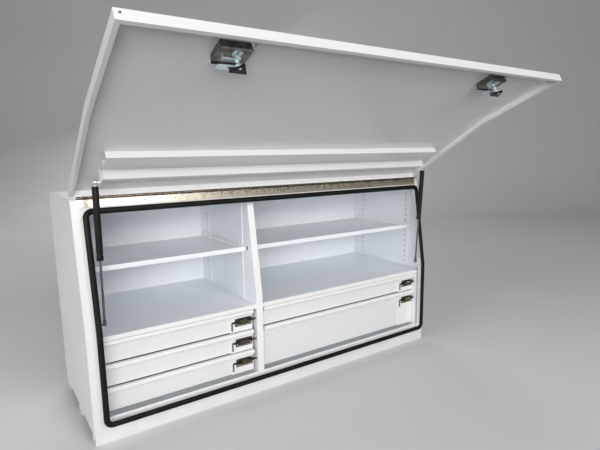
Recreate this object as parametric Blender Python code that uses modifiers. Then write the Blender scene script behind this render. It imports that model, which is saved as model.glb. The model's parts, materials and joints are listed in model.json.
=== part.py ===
"""White steel tool chest for a vehicle tray: creased lid on a piano hinge and gas struts,
two bays with a shelf and a deck each, three drawers on the left and two on the right."""
import math

import bmesh
import bpy
from mathutils import Matrix, Vector

# Driving sizes, in metres. X is the width, Y runs from front to back, Z is up.
CHEST_WIDTH = 1.700
CHEST_DEPTH = 0.560
CHEST_HEIGHT = 0.870
SHEET = 0.0015
GAP = 0.0003
BITE = 0.0005
CUT_PAST = 0.010

# Base rails under the floor.
RAIL_HEIGHT = 0.040
RAIL_WIDTH = 0.050
RAIL_WALL = 0.0025
RAIL_END_INSET = 0.003

# Front face: upright below the bend, leaning back above it.
BEND_HEIGHT = 0.425
SET_BACK = 0.066
FACE_MARGIN = 0.041
SILL_HEIGHT = 0.081
HEADER_DROP = 0.042
UPSTAND = 0.030
OPENING_RADIUS = 0.022
CORNER_STEPS = 4
EDGE_ROUND = 0.001

# Seal pushed over the upstand.
SEAL_WIDTH = 0.021
SEAL_REACH = 0.0075
SEAL_GRIP = 0.004
SEAL_FOOT_SHARE = 0.70
SEAL_CROWN_SHARE = 0.55
SEAL_LOW_SHARE = 0.10
SEAL_HIGH_SHARE = 0.50

# Inside of the carcass.
FLOOR_TOP = 0.075
FLOOR_RECESS = 0.0055
FLOOR_LIP_TOP = 0.0935
PARTITION_FROM_LEFT = 0.6885
PARTITION_WIDTH = 0.029
PARTITION_RECESS = 0.008
DECK_HEIGHT = 0.390
DECK_LIP = 0.018
SHELF_HEIGHT = 0.628
SHELF_LIP = 0.0185
SHELF_RECESS = 0.085

# Perforated standards, one ladder frame on each wall face.
STANDARD_WIDTH = 0.045
STANDARD_SHEET = 0.003
STANDARD_FRONT = 0.112
STANDARD_REAR = 0.450
STANDARD_TOP_CLEAR = 0.030
STANDARD_BAR = 0.010
SLOT_WIDTH = 0.006
SLOT_LENGTH = 0.013
SLOT_PITCH = 0.0285

# Piano hinge along the top front edge.
HINGE_END_INSET = 0.021
HINGE_LEAF = 0.026
HINGE_SHEET = 0.0015
HINGE_RISE = 0.006
HINGE_OUT = 0.004
KNUCKLE_RADIUS = 0.0055
KNUCKLE_BORE = 0.0029
KNUCKLE_COUNT = 32
KNUCKLE_PLAY = 0.0008
PIN_RADIUS = 0.0025
LEAF_CLEAR = 0.004

# Lid.
LID_OUT = 0.040
LID_FLANGE = 0.0275
LID_LIP = 0.013
LID_SIDE_INSET = 0.002
LID_BOTTOM = 0.052
LID_OPEN_ANGLE = math.radians(114.0)
UPPER_CHANNEL_DOWN = 0.190
UPPER_CHANNEL_WIDTH = 0.051
UPPER_CHANNEL_DEPTH = 0.024
LOWER_CHANNEL_DOWN = 0.118
LOWER_CHANNEL_WIDTH = 0.0145
LOWER_CHANNEL_DEPTH = 0.036
CHANNEL_END_INSET = 0.083

# Locks near the free edge of the lid.
LEFT_LOCK_INSET = 0.310
RIGHT_LOCK_INSET = 0.330
LOCK_HEIGHT = 0.140
PAN_WIDTH = 0.083
PAN_HEIGHT = 0.063
PAN_SHIFT = 0.0135
PAN_DROP = 0.0045
PAN_DEPTH = 0.022
PAN_RIM = 0.010
PAN_SHEET = 0.0012
SPINDLE_RADIUS = 0.006
SPINDLE_PLAY = 0.0006
HUB_RADIUS = 0.0095
HUB_LENGTH = 0.008
CAM_LENGTH = 0.062
CAM_WIDTH = 0.018
CAM_SHEET = 0.004
CAM_HEEL = 0.004
CAM_BEHIND = 0.009
HANDLE_ARM = 0.004
HANDLE_THICK = 0.006
HANDLE_REACH = 0.0215
HANDLE_BAR = 0.007
HANDLE_SPAN = 0.029
HANDLE_PIN = 0.002
HANDLE_PLAY = 0.0004

# Gas struts.
STRUT_INSET = 0.0665
STRUT_LID_DOWN = 0.109
STRUT_LID_OUT = 0.002
STRUT_BASE_HEIGHT = 0.442
STRUT_BASE_OUT = 0.003
CYLINDER_RADIUS = 0.011
CYLINDER_LENGTH = 0.262
COLLAR_RADIUS = 0.0115
COLLAR_LENGTH = 0.014
COLLAR_PAST = 0.001
ROD_RADIUS = 0.004
ROD_PLAY = 0.0006
ROD_HIDDEN = 0.020
BORE_DEPTH = 0.200
EYE_RADIUS = 0.0085
EYE_THICK = 0.008
LOW_EYE_RADIUS = 0.0072
STUD_RADIUS = 0.003
STUD_PLAY = 0.0004
STUD_PAST = 0.002
BRACKET_SHEET = 0.003
BRACKET_HEIGHT = 0.052
BRACKET_PAST = 0.010
BASE_BRACKET_HEIGHT = 0.030
BASE_BRACKET_BACK = 0.022
BASE_BRACKET_FRONT = 0.0085
BASE_BRACKET_STANDOFF = 0.0128

# Drawers. Heights are the front panels' lower and upper edges.
DRAWER_RECESS = 0.015
DRAWER_LIP = 0.019
DRAWER_LIP_HEIGHT = 0.017
DRAWER_HEM = 0.007
DRAWER_LENGTH = 0.440
DRAWER_SIDE = 0.0125
DRAWER_BOTTOM_RISE = 0.006
DRAWER_WALL_DROP = 0.022
DRAWER_END_GAP = 0.012
DRAWER_WALL_GAP = 0.0018
RUNNER_GAP = 0.010
DRAWERS_LOW = 0.100
DRAWER_LINE_LOW = 0.193
DRAWER_LINE_HIGH = 0.282
DRAWERS_TOP = 0.370
DRAWER_SLIT = 0.0030
FILLER_WIDTH = 0.050
FILLER_RECESS = 0.012
RUNNER_START = 0.052
RUNNER_LENGTH = 0.440
RAIL_UP = 0.026
RAIL_TALL = 0.014
RAIL_PLAY = 0.0006
LEDGE = 0.003
LEDGE_CLEAR = 0.001
LEDGE_END = 0.004
RAIL_END = 0.002

# Barrel bolts on the drawers.
LATCH_PLATE_WIDTH = 0.104
LATCH_PLATE_INSET = 0.001
LATCH_PLATE_RISE = 0.0055
LATCH_LENGTH = 0.078
LATCH_END_INSET = 0.004
LATCH_DROP = 0.043
LATCH_FLANGE = 0.0085
STRAP_SHEET = 0.0015
BOLT_RADIUS = 0.004
BOLT_PLAY = 0.0005
BOLT_TAIL_DROP = 0.034
BOLT_TAIL_WIDTH = 0.005
BOLT_WINDOW = 0.036
BOLT_TRAVEL = 0.013
BOLT_END_CLEAR = 0.004
KEEPER_PLAY = 0.0015

# Placing that follows from the sizes above.
FRONT_Y = -CHEST_DEPTH / 2
BACK_Y = CHEST_DEPTH / 2
HALF_WIDTH = CHEST_WIDTH / 2
HINGE_LENGTH = CHEST_WIDTH - 2 * HINGE_END_INSET
LEFT_LOCK_X = LEFT_LOCK_INSET - HALF_WIDTH
RIGHT_LOCK_X = HALF_WIDTH - RIGHT_LOCK_INSET
PAN_MIDDLE = LOCK_HEIGHT - PAN_DROP
STRUT_X = HALF_WIDTH - STRUT_INSET
BASE_BRACKET_FACE = STRUT_X + BASE_BRACKET_STANDOFF
PARTITION_X = PARTITION_FROM_LEFT - HALF_WIDTH
INNER_X = HALF_WIDTH - SHEET - GAP
INNER_BACK_Y = BACK_Y - SHEET - GAP
LEAN = math.atan2(SET_BACK, CHEST_HEIGHT - BEND_HEIGHT)
FACE_TOP = BEND_HEIGHT + (CHEST_HEIGHT - BEND_HEIGHT) / math.cos(LEAN)
PARTITION_LEFT = PARTITION_X - PARTITION_WIDTH / 2
PARTITION_RIGHT = PARTITION_X + PARTITION_WIDTH / 2
DECK_UNDER = DECK_HEIGHT - SHEET
HINGE_V = FACE_TOP + HINGE_RISE
LEAF_TOP = HINGE_V + KNUCKLE_RADIUS - BITE
LID_TOP = LEAF_TOP + GAP + SHEET
LID_INNER = LID_OUT - SHEET
LID_HALF = HALF_WIDTH - LID_SIDE_INSET
CHANNEL_HALF = LID_HALF - CHANNEL_END_INSET
FILLER_X = HALF_WIDTH - SHEET - FILLER_WIDTH
LATCH_RECESS = DRAWER_RECESS + DRAWER_LIP - LATCH_PLATE_RISE

WHITE = ((0.86, 0.87, 0.87, 1.0), 0.35, 0.0)
BLACK = ((0.02, 0.02, 0.02, 1.0), 0.6, 0.0)
STEEL = ((0.62, 0.60, 0.56, 1.0), 0.3, 1.0)
ZINC = ((0.66, 0.70, 0.72, 1.0), 0.35, 1.0)

for old in list(bpy.data.objects):
    bpy.data.objects.remove(old, do_unlink=True)

parts = bpy.data.collections.new("tool_chest")
bpy.context.scene.collection.children.link(parts)
cutters = bpy.data.collections.new("tool_chest_cutters")
bpy.context.scene.collection.children.link(cutters)


def folded(point):
    """Bend a point of the flat upright front, at y = 0 and facing -Y, onto the creased front."""
    out = -point[1]
    along = point[2]
    if along < BEND_HEIGHT - 1e-6:
        return Vector((point[0], FRONT_Y - out, along))
    if along < BEND_HEIGHT + 1e-6:
        return Vector((point[0], FRONT_Y - out, BEND_HEIGHT + out * math.tan(LEAN / 2)))
    up = along - BEND_HEIGHT
    back = up * math.sin(LEAN) - out * math.cos(LEAN)
    high = BEND_HEIGHT + up * math.cos(LEAN) + out * math.sin(LEAN)
    return Vector((point[0], FRONT_Y + back, high))


def fold(shape):
    for vert in shape.verts:
        vert.co = folded(vert.co)
    return shape


def box(x0, x1, y0, y1, z0, z1):
    shape = bmesh.new()
    size = Matrix.Diagonal((x1 - x0, y1 - y0, z1 - z0, 1.0))
    middle = Matrix.Translation(((x0 + x1) / 2, (y0 + y1) / 2, (z0 + z1) / 2))
    bmesh.ops.create_cube(shape, size=1.0, matrix=middle @ size)
    return shape


def rod_between(start, end, radius, sides=12):
    """A round bar from one point to another."""
    start = Vector(start)
    end = Vector(end)
    shape = bmesh.new()
    turn = (end - start).to_track_quat("Z", "Y").to_matrix().to_4x4()
    place = Matrix.Translation((start + end) / 2) @ turn
    bmesh.ops.create_cone(shape, cap_ends=True, segments=sides, radius1=radius, radius2=radius,
                          depth=(end - start).length, matrix=place)
    return shape


def pulled(outline, travel):
    """A flat outline pulled along a vector into a solid."""
    shape = bmesh.new()
    face = shape.faces.new([shape.verts.new(point) for point in outline])
    result = bmesh.ops.extrude_face_region(shape, geom=[face])
    moved = [item for item in result["geom"] if isinstance(item, bmesh.types.BMVert)]
    bmesh.ops.translate(shape, verts=moved, vec=Vector(travel))
    bmesh.ops.recalc_face_normals(shape, faces=shape.faces)
    return shape


def ring(loops):
    """A loop of edges extruded to the next loop, and so on back to the first, as one hollow ring."""
    shape = bmesh.new()
    verts = [shape.verts.new(point) for point in loops[0]]
    count = len(verts)
    edges = [shape.edges.new((verts[i], verts[(i + 1) % count])) for i in range(count)]
    for start, loop_points in zip(loops, loops[1:] + loops[:1]):
        result = bmesh.ops.extrude_edge_only(shape, edges=edges)
        edges = [item for item in result["geom"] if isinstance(item, bmesh.types.BMEdge)]
        for vert in [item for item in result["geom"] if isinstance(item, bmesh.types.BMVert)]:
            number = min(range(count), key=lambda i: (Vector(start[i]) - vert.co).length_squared)
            vert.co = loop_points[number]
    bmesh.ops.remove_doubles(shape, verts=shape.verts, dist=1e-6)
    bmesh.ops.recalc_face_normals(shape, faces=shape.faces)
    return shape


def material(name, look):
    made = bpy.data.materials.new(name)
    made.use_nodes = True
    shader = made.node_tree.nodes["Principled BSDF"]
    shader.inputs["Base Color"].default_value = look[0]
    shader.inputs["Roughness"].default_value = look[1]
    shader.inputs["Metallic"].default_value = look[2]
    made.diffuse_color = look[0]
    return made


def mesh_object(name, shape, home, origin):
    shape.transform(Matrix.Translation(-Vector(origin)))
    mesh = bpy.data.meshes.new(name)
    shape.to_mesh(mesh)
    shape.free()
    made = bpy.data.objects.new(name, mesh)
    home.objects.link(made)
    return made


def piece(name, shape, look, origin=(0.0, 0.0, 0.0), parent=None, joins=(), cuts=(), sheet=None):
    """One named part: a base shape, thickened if it is a sheet, with shapes joined and cut."""
    made = mesh_object(name, shape, parts, origin)
    made.data.materials.append(material(name, look))
    made.location = (0.0, 0.0, 0.0) if parent else origin
    if parent:
        made.parent = parent
    if sheet is not None:
        thick = made.modifiers.new("sheet", "SOLIDIFY")
        thick.thickness = sheet
        thick.offset = -1.0
        thick.use_even_offset = True
        thick.use_quality_normals = True
    for label, kind, shapes in (("join", "UNION", joins), ("cut", "DIFFERENCE", cuts)):
        if not shapes:
            continue
        group = bpy.data.collections.new(name + "_" + label)
        cutters.children.link(group)
        for number, other in enumerate(shapes):
            tool = mesh_object(name + "_" + label + str(number), other, group, origin)
            tool.location = made.location
            tool.parent = parent
            tool.hide_render = True
            tool.display_type = "WIRE"
        work = made.modifiers.new(label, "BOOLEAN")
        work.operation = kind
        work.solver = "EXACT"
        work.operand_type = "COLLECTION"
        work.collection = group
    return made


def pivot(name, place, turn=(0.0, 0.0, 0.0), parent=None):
    empty = bpy.data.objects.new(name, None)
    empty.empty_display_size = 0.03
    empty.location = place
    empty.rotation_euler = turn
    empty.parent = parent
    parts.objects.link(empty)
    return empty


def face_y(out):
    """The Y of a plane that lies a distance behind the lower front face."""
    return FRONT_Y + out


# Side panels, back, top and floor.
def side_panel(name, x0):
    outline = [(x0, FRONT_Y, RAIL_HEIGHT + GAP), (x0, FRONT_Y, BEND_HEIGHT),
               (x0, FRONT_Y + SET_BACK, CHEST_HEIGHT), (x0, BACK_Y, CHEST_HEIGHT),
               (x0, BACK_Y, RAIL_HEIGHT + GAP)]
    piece(name, pulled(outline, (SHEET, 0.0, 0.0)), WHITE)


side_panel("left_side_panel", -HALF_WIDTH)
side_panel("right_side_panel", HALF_WIDTH - SHEET)

piece("back_panel", box(-INNER_X, INNER_X, BACK_Y - SHEET, BACK_Y, RAIL_HEIGHT + GAP,
                        CHEST_HEIGHT - SHEET - GAP), WHITE)
TOP_FRONT_Y = FRONT_Y + SET_BACK + SHEET + 2 * GAP
piece("top_panel", box(-INNER_X, INNER_X, TOP_FRONT_Y, BACK_Y, CHEST_HEIGHT - SHEET, CHEST_HEIGHT),
      WHITE)

# The floor is a tray turned over: its skirts stand on the rails, and a lip runs along its front.
floor_shape = box(-INNER_X, INNER_X, face_y(FLOOR_RECESS), INNER_BACK_Y, RAIL_HEIGHT + GAP, FLOOR_TOP)
floor_shape.faces.ensure_lookup_table()
under = min(floor_shape.faces, key=lambda face: face.calc_center_median().z)
bmesh.ops.delete(floor_shape, geom=[under], context="FACES_ONLY")
floor_lip = box(-INNER_X, INNER_X, face_y(FLOOR_RECESS), face_y(FLOOR_RECESS) + SHEET, FLOOR_TOP - BITE,
                FLOOR_LIP_TOP)
piece("floor_panel", floor_shape, WHITE, sheet=SHEET, joins=[floor_lip])


# Base rails: rectangular tube along the width, open at both ends.
def base_rail(name, y0):
    x0 = -HALF_WIDTH + RAIL_END_INSET
    x1 = HALF_WIDTH - RAIL_END_INSET
    shape = box(x0, x1, y0, y0 + RAIL_WIDTH, 0.0, RAIL_HEIGHT)
    ends = [face for face in shape.faces if abs(face.normal.x) > 0.5]
    bmesh.ops.delete(shape, geom=ends, context="FACES_ONLY")
    piece(name, shape, WHITE, sheet=RAIL_WALL)


base_rail("front_base_rail", FRONT_Y)
base_rail("middle_base_rail", -RAIL_WIDTH / 2)
base_rail("rear_base_rail", BACK_Y - RAIL_WIDTH)


# Front frame and seal: loops round the opening, drawn flat and then folded with the face.
def loop(half, low, high, radius, out):
    """A rounded rectangle on the flat front, with a point where the sides cross the bend."""
    points = []
    corners = ((half - radius, low + radius, -90.0), (half - radius, high - radius, 0.0),
               (-half + radius, high - radius, 90.0), (-half + radius, low + radius, 180.0))
    for number, (x, z, start) in enumerate(corners):
        for step in range(CORNER_STEPS + 1):
            angle = math.radians(start + 90.0 * step / CORNER_STEPS)
            points.append((x + radius * math.cos(angle), -out, z + radius * math.sin(angle)))
        if number == 0:
            points.append((half, -out, BEND_HEIGHT))
        if number == 2:
            points.append((-half, -out, BEND_HEIGHT))
    return points


OPENING_HALF = HALF_WIDTH - FACE_MARGIN
OPENING_TOP = FACE_TOP - HEADER_DROP


def opening_loop(spread, out):
    """A loop that stands off the middle of the upstand by a spread, to its outside if positive."""
    return loop(OPENING_HALF + spread, SILL_HEIGHT - spread, OPENING_TOP + spread,
                OPENING_RADIUS + spread, out)


def rim_loop(out):
    return loop(INNER_X, RAIL_HEIGHT + GAP, FACE_TOP, EDGE_ROUND, out)


half_sheet = SHEET / 2
frame_loops = [rim_loop(0.0), opening_loop(half_sheet, 0.0), opening_loop(half_sheet, UPSTAND),
               opening_loop(-half_sheet, UPSTAND), opening_loop(-half_sheet, -SHEET), rim_loop(-SHEET)]
piece("front_frame", fold(ring(frame_loops)), WHITE)

slot = half_sheet + GAP
half_seal = SEAL_WIDTH / 2
grip = UPSTAND - SEAL_GRIP
crown = UPSTAND + SEAL_REACH
seal_foot = half_seal * SEAL_FOOT_SHARE
seal_flat = half_seal * SEAL_CROWN_SHARE
shoulder_low = grip + SEAL_WIDTH * SEAL_LOW_SHARE
shoulder_high = crown - half_seal * SEAL_HIGH_SHARE
seal_loops = [opening_loop(slot, grip), opening_loop(seal_foot, grip),
              opening_loop(half_seal, shoulder_low), opening_loop(half_seal, shoulder_high),
              opening_loop(seal_flat, crown), opening_loop(-seal_flat, crown),
              opening_loop(-half_seal, shoulder_high), opening_loop(-half_seal, shoulder_low),
              opening_loop(-seal_foot, grip), opening_loop(-slot, grip),
              opening_loop(-slot, UPSTAND + GAP), opening_loop(slot, UPSTAND + GAP)]
piece("door_seal", fold(ring(seal_loops)), BLACK)


# Partition: one sheet folded round a wide front edge, open at the back.
bolt_y = face_y(LATCH_RECESS - GAP) - BOLT_RADIUS - STRAP_SHEET


def partition_shape():
    """The outline of one skin, pulled across the width, less the hollow behind the front fold."""
    low = FLOOR_TOP + GAP
    high = CHEST_HEIGHT - SHEET - GAP
    lines = []
    for recess in (PARTITION_RECESS, PARTITION_RECESS + SHEET):
        bend = folded((0.0, recess, BEND_HEIGHT))
        upper = folded((0.0, recess, FACE_TOP))
        rise = (high - bend.z) / (upper.z - bend.z)
        top = bend.lerp(upper, rise)
        lines.append((face_y(recess), bend, top))
    skin = [(PARTITION_LEFT, lines[0][0], low), (PARTITION_LEFT, lines[0][1].y, lines[0][1].z),
            (PARTITION_LEFT, lines[0][2].y, high), (PARTITION_LEFT, INNER_BACK_Y, high),
            (PARTITION_LEFT, INNER_BACK_Y, low)]
    inside = PARTITION_LEFT + SHEET
    lean = (lines[1][2] - lines[1][1]) / (lines[1][2].z - lines[1][1].z)
    over = lines[1][2] + lean * CUT_PAST
    hollow = [(inside, lines[1][0], low - CUT_PAST), (inside, lines[1][1].y, lines[1][1].z),
              (inside, over.y, over.z), (inside, INNER_BACK_Y + CUT_PAST, over.z),
              (inside, INNER_BACK_Y + CUT_PAST, low - CUT_PAST)]
    body = pulled(skin, (PARTITION_WIDTH, 0.0, 0.0))
    gap = pulled(hollow, (PARTITION_WIDTH - 2 * SHEET, 0.0, 0.0))
    return body, gap


FRONTS_LEFT = ((DRAWER_LINE_HIGH + DRAWER_SLIT / 2, DRAWERS_TOP),
               (DRAWER_LINE_LOW + DRAWER_SLIT / 2, DRAWER_LINE_HIGH - DRAWER_SLIT / 2),
               (DRAWERS_LOW, DRAWER_LINE_LOW - DRAWER_SLIT / 2))
FRONTS_RIGHT = ((DRAWER_LINE_HIGH + DRAWER_SLIT / 2, DRAWERS_TOP),
                (DRAWERS_LOW, DRAWER_LINE_HIGH - DRAWER_SLIT / 2))


def keeper_holes(fronts, x0, x1):
    holes = []
    for low, high in fronts:
        z = high - LATCH_DROP
        holes.append(rod_between((x0, bolt_y, z), (x1, bolt_y, z), BOLT_RADIUS + KEEPER_PLAY))
    return holes


partition_body, partition_gap = partition_shape()
left_keepers = keeper_holes(FRONTS_LEFT, PARTITION_LEFT - CUT_PAST, PARTITION_LEFT + SHEET + CUT_PAST)
piece("partition", partition_body, WHITE, cuts=[partition_gap] + left_keepers)


# Decks over the drawers and adjustable shelves above them.
def deck(name, x0, x1):
    y0 = face_y(DRAWER_RECESS)
    shape = bmesh.new()
    line = [(x0, y0, DECK_HEIGHT - DECK_LIP), (x0, y0, DECK_HEIGHT), (x0, INNER_BACK_Y, DECK_HEIGHT)]
    verts = [shape.verts.new(point) for point in line]
    edges = [shape.edges.new((verts[i], verts[i + 1])) for i in range(2)]
    result = bmesh.ops.extrude_edge_only(shape, edges=edges)
    moved = [item for item in result["geom"] if isinstance(item, bmesh.types.BMVert)]
    bmesh.ops.translate(shape, verts=moved, vec=(x1 - x0, 0.0, 0.0))
    outward(shape, Vector((0.0, 0.0, 1.0)))
    piece(name, shape, WHITE, sheet=SHEET)


def outward(shape, side):
    """Turn an open sheet so that its widest face looks to one side."""
    bmesh.ops.recalc_face_normals(shape, faces=shape.faces)
    widest = max(shape.faces, key=lambda face: face.calc_area())
    if widest.normal.dot(side) < 0.0:
        bmesh.ops.reverse_faces(shape, faces=shape.faces)


def shelf(name, x0, x1):
    y0 = face_y(SHELF_RECESS)
    y1 = INNER_BACK_Y - GAP
    under = SHELF_HEIGHT - SHELF_LIP
    root = under + SHEET - BITE
    lips = [box(x0, x1, y0, y0 + SHEET, root, SHELF_HEIGHT),
            box(x0, x1, y1 - SHEET, y1, root, SHELF_HEIGHT),
            box(x0, x0 + SHEET, y0 + SHELF_LIP, y1, root, SHELF_HEIGHT),
            box(x1 - SHEET, x1, y0 + SHELF_LIP, y1, root, SHELF_HEIGHT)]
    piece(name, box(x0, x1, y0, y1, under, under + SHEET), WHITE, joins=lips)


deck("left_deck", -INNER_X, PARTITION_LEFT - GAP)
deck("right_deck", PARTITION_RIGHT + GAP, INNER_X)
shelf_inset = STANDARD_SHEET + 2 * GAP
shelf("left_shelf", -INNER_X + shelf_inset, PARTITION_LEFT - GAP - shelf_inset)
shelf("right_shelf", PARTITION_RIGHT + GAP + shelf_inset, INNER_X - shelf_inset)


# Standards: two slotted uprights joined by a bar at the foot and the head.
def standards(name, x0):
    low = DECK_HEIGHT + GAP
    high = CHEST_HEIGHT - STANDARD_TOP_CLEAR
    y0 = face_y(STANDARD_FRONT)
    y1 = face_y(STANDARD_REAR) + STANDARD_WIDTH
    body = box(x0, x0 + STANDARD_SHEET, y0, y1, low, high)
    cuts = [box(x0 - CUT_PAST, x0 + STANDARD_SHEET + CUT_PAST, y0 + STANDARD_WIDTH, y1 - STANDARD_WIDTH,
                low + STANDARD_BAR, high - STANDARD_BAR)]
    count = int((high - low - 2 * STANDARD_BAR) / SLOT_PITCH)
    for side in (y0 + STANDARD_WIDTH / 2, y1 - STANDARD_WIDTH / 2):
        for number in range(count):
            z = low + STANDARD_BAR + SLOT_PITCH * (number + 0.5)
            cuts.append(box(x0 - CUT_PAST, x0 + STANDARD_SHEET + CUT_PAST, side - SLOT_WIDTH / 2,
                            side + SLOT_WIDTH / 2, z - SLOT_LENGTH / 2, z + SLOT_LENGTH / 2))
    piece(name, body, WHITE, cuts=cuts)


standards("left_wall_standards", -INNER_X)
standards("partition_left_standards", PARTITION_LEFT - GAP - STANDARD_SHEET)
standards("partition_right_standards", PARTITION_RIGHT + GAP)
standards("right_wall_standards", INNER_X - STANDARD_SHEET)


# Piano hinge. Odd knuckles stand on the cabinet leaf, even ones on the lid leaf.
HINGE_AXIS = folded((0.0, -HINGE_OUT, HINGE_V))
lid_pivot = pivot("lid_pivot", HINGE_AXIS, (-LID_OPEN_ANGLE, 0.0, 0.0))


def knuckles(first):
    """Every second knuckle as a tube, in the flat front's frame."""
    pitch = HINGE_LENGTH / KNUCKLE_COUNT
    tubes = []
    for number in range(first, KNUCKLE_COUNT, 2):
        x0 = -HINGE_LENGTH / 2 + pitch * number + KNUCKLE_PLAY / 2
        x1 = x0 + pitch - KNUCKLE_PLAY
        loops = []
        for radius, x in ((KNUCKLE_RADIUS, x0), (KNUCKLE_RADIUS, x1), (KNUCKLE_BORE, x1), (KNUCKLE_BORE, x0)):
            turns = [math.radians(22.5 + 45.0 * step) for step in range(8)]
            loops.append([(x, -HINGE_OUT + radius * math.cos(turn), HINGE_V + radius * math.sin(turn))
                          for turn in turns])
        tubes.append(fold(ring(loops)))
    return tubes


def comb(first, place, root, notch, tip):
    """The outline of a leaf with a tooth for every second knuckle, laid out by place(x, distance)."""
    pitch = HINGE_LENGTH / KNUCKLE_COUNT
    start = -HINGE_LENGTH / 2
    points = [place(start, root), place(start, notch)]
    for number in range(first, KNUCKLE_COUNT, 2):
        x0 = start + pitch * number + KNUCKLE_PLAY
        x1 = x0 + pitch - 2 * KNUCKLE_PLAY
        points += [place(x0, notch), place(x0, tip), place(x1, tip), place(x1, notch)]
    return points + [place(-start, notch), place(-start, root)]


cabinet_comb = comb(1, lambda x, far: (x, -GAP - HINGE_SHEET, far), FACE_TOP - HINGE_LEAF,
                    HINGE_V - KNUCKLE_RADIUS - KNUCKLE_PLAY, HINGE_V - KNUCKLE_BORE - BITE)
piece("hinge_cabinet_leaf", fold(pulled(cabinet_comb, (0.0, HINGE_SHEET, 0.0))), STEEL, joins=knuckles(1))
lid_comb = comb(0, lambda x, far: (x, -far, LEAF_TOP - HINGE_SHEET), LID_INNER - LEAF_CLEAR,
                HINGE_OUT + KNUCKLE_RADIUS + KNUCKLE_PLAY, HINGE_OUT + KNUCKLE_BORE)
piece("hinge_lid_leaf", fold(pulled(lid_comb, (0.0, 0.0, HINGE_SHEET))), STEEL, origin=HINGE_AXIS,
      parent=lid_pivot, joins=knuckles(0))
pin_half = HINGE_LENGTH / 2 - KNUCKLE_PLAY
pin_reach = Vector((pin_half, 0.0, 0.0))
piece("hinge_pin", rod_between(HINGE_AXIS - pin_reach, HINGE_AXIS + pin_reach, PIN_RADIUS, 8), STEEL)


# Lid: a creased tray with flanges all round and lips turned in along the two sides and the free edge.
def lid_tray():
    shape = bmesh.new()
    stations = (LID_BOTTOM, BEND_HEIGHT, LID_TOP)
    verts = [shape.verts.new((-LID_HALF, -LID_OUT, z)) for z in stations]
    edges = [shape.edges.new((verts[i], verts[i + 1])) for i in range(2)]
    result = bmesh.ops.extrude_edge_only(shape, edges=edges)
    moved = [item for item in result["geom"] if isinstance(item, bmesh.types.BMVert)]
    bmesh.ops.translate(shape, verts=moved, vec=(2 * LID_HALF, 0.0, 0.0))
    border = [edge for edge in shape.edges if edge.is_boundary]
    result = bmesh.ops.extrude_edge_only(shape, edges=border)
    moved = [item for item in result["geom"] if isinstance(item, bmesh.types.BMVert)]
    bmesh.ops.translate(shape, verts=moved, vec=(0.0, LID_FLANGE, 0.0))
    rim = [edge for edge in shape.edges if edge.is_boundary
           and not all(abs(vert.co.z - LID_TOP) < 1e-6 for vert in edge.verts)]
    result = bmesh.ops.extrude_edge_only(shape, edges=rim)
    for vert in [item for item in result["geom"] if isinstance(item, bmesh.types.BMVert)]:
        vert.co.x -= math.copysign(LID_LIP, vert.co.x)
        if abs(vert.co.z - LID_BOTTOM) < 1e-6:
            vert.co.z += LID_LIP
        if abs(vert.co.z - LID_TOP) < 1e-6:
            vert.co.z -= LID_LIP
    outward(shape, Vector((0.0, -1.0, 0.0)))
    return fold(shape)


def lock_middle(side):
    return LEFT_LOCK_X if side < 0 else RIGHT_LOCK_X


pan_holes = []
for side in (-1, 1):
    pan_x = lock_middle(side) - PAN_SHIFT
    half_w = PAN_WIDTH / 2 + GAP
    half_h = PAN_HEIGHT / 2 + GAP
    pan_holes.append(fold(box(pan_x - half_w, pan_x + half_w, -LID_OUT - CUT_PAST, -LID_OUT + CUT_PAST,
                              PAN_MIDDLE - half_h, PAN_MIDDLE + half_h)))
piece("lid_panel", lid_tray(), WHITE, origin=HINGE_AXIS, parent=lid_pivot, sheet=SHEET, cuts=pan_holes)


# Stiffening channels across the inside of the lid, open towards the skin.
def channel(name, down, width, depth):
    high = LID_TOP - down
    low = high - width
    shape = bmesh.new()
    outer = -LID_INNER + GAP
    line = [(-CHANNEL_HALF, outer, low), (-CHANNEL_HALF, outer + depth, low),
            (-CHANNEL_HALF, outer + depth, high), (-CHANNEL_HALF, outer, high)]
    verts = [shape.verts.new(point) for point in line]
    edges = [shape.edges.new((verts[i], verts[i + 1])) for i in range(3)]
    result = bmesh.ops.extrude_edge_only(shape, edges=edges)
    moved = [item for item in result["geom"] if isinstance(item, bmesh.types.BMVert)]
    bmesh.ops.translate(shape, verts=moved, vec=(2 * CHANNEL_HALF, 0.0, 0.0))
    bmesh.ops.recalc_face_normals(shape, faces=shape.faces)
    web = min(shape.faces, key=lambda face: -face.calc_center_median().y)
    if web.normal.y < 0.0:
        bmesh.ops.reverse_faces(shape, faces=shape.faces)
    piece(name, fold(shape), WHITE, origin=HINGE_AXIS, parent=lid_pivot, sheet=SHEET)


channel("lid_upper_channel", UPPER_CHANNEL_DOWN, UPPER_CHANNEL_WIDTH, UPPER_CHANNEL_DEPTH)
channel("lid_lower_channel", LOWER_CHANNEL_DOWN, LOWER_CHANNEL_WIDTH, LOWER_CHANNEL_DEPTH)


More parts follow.
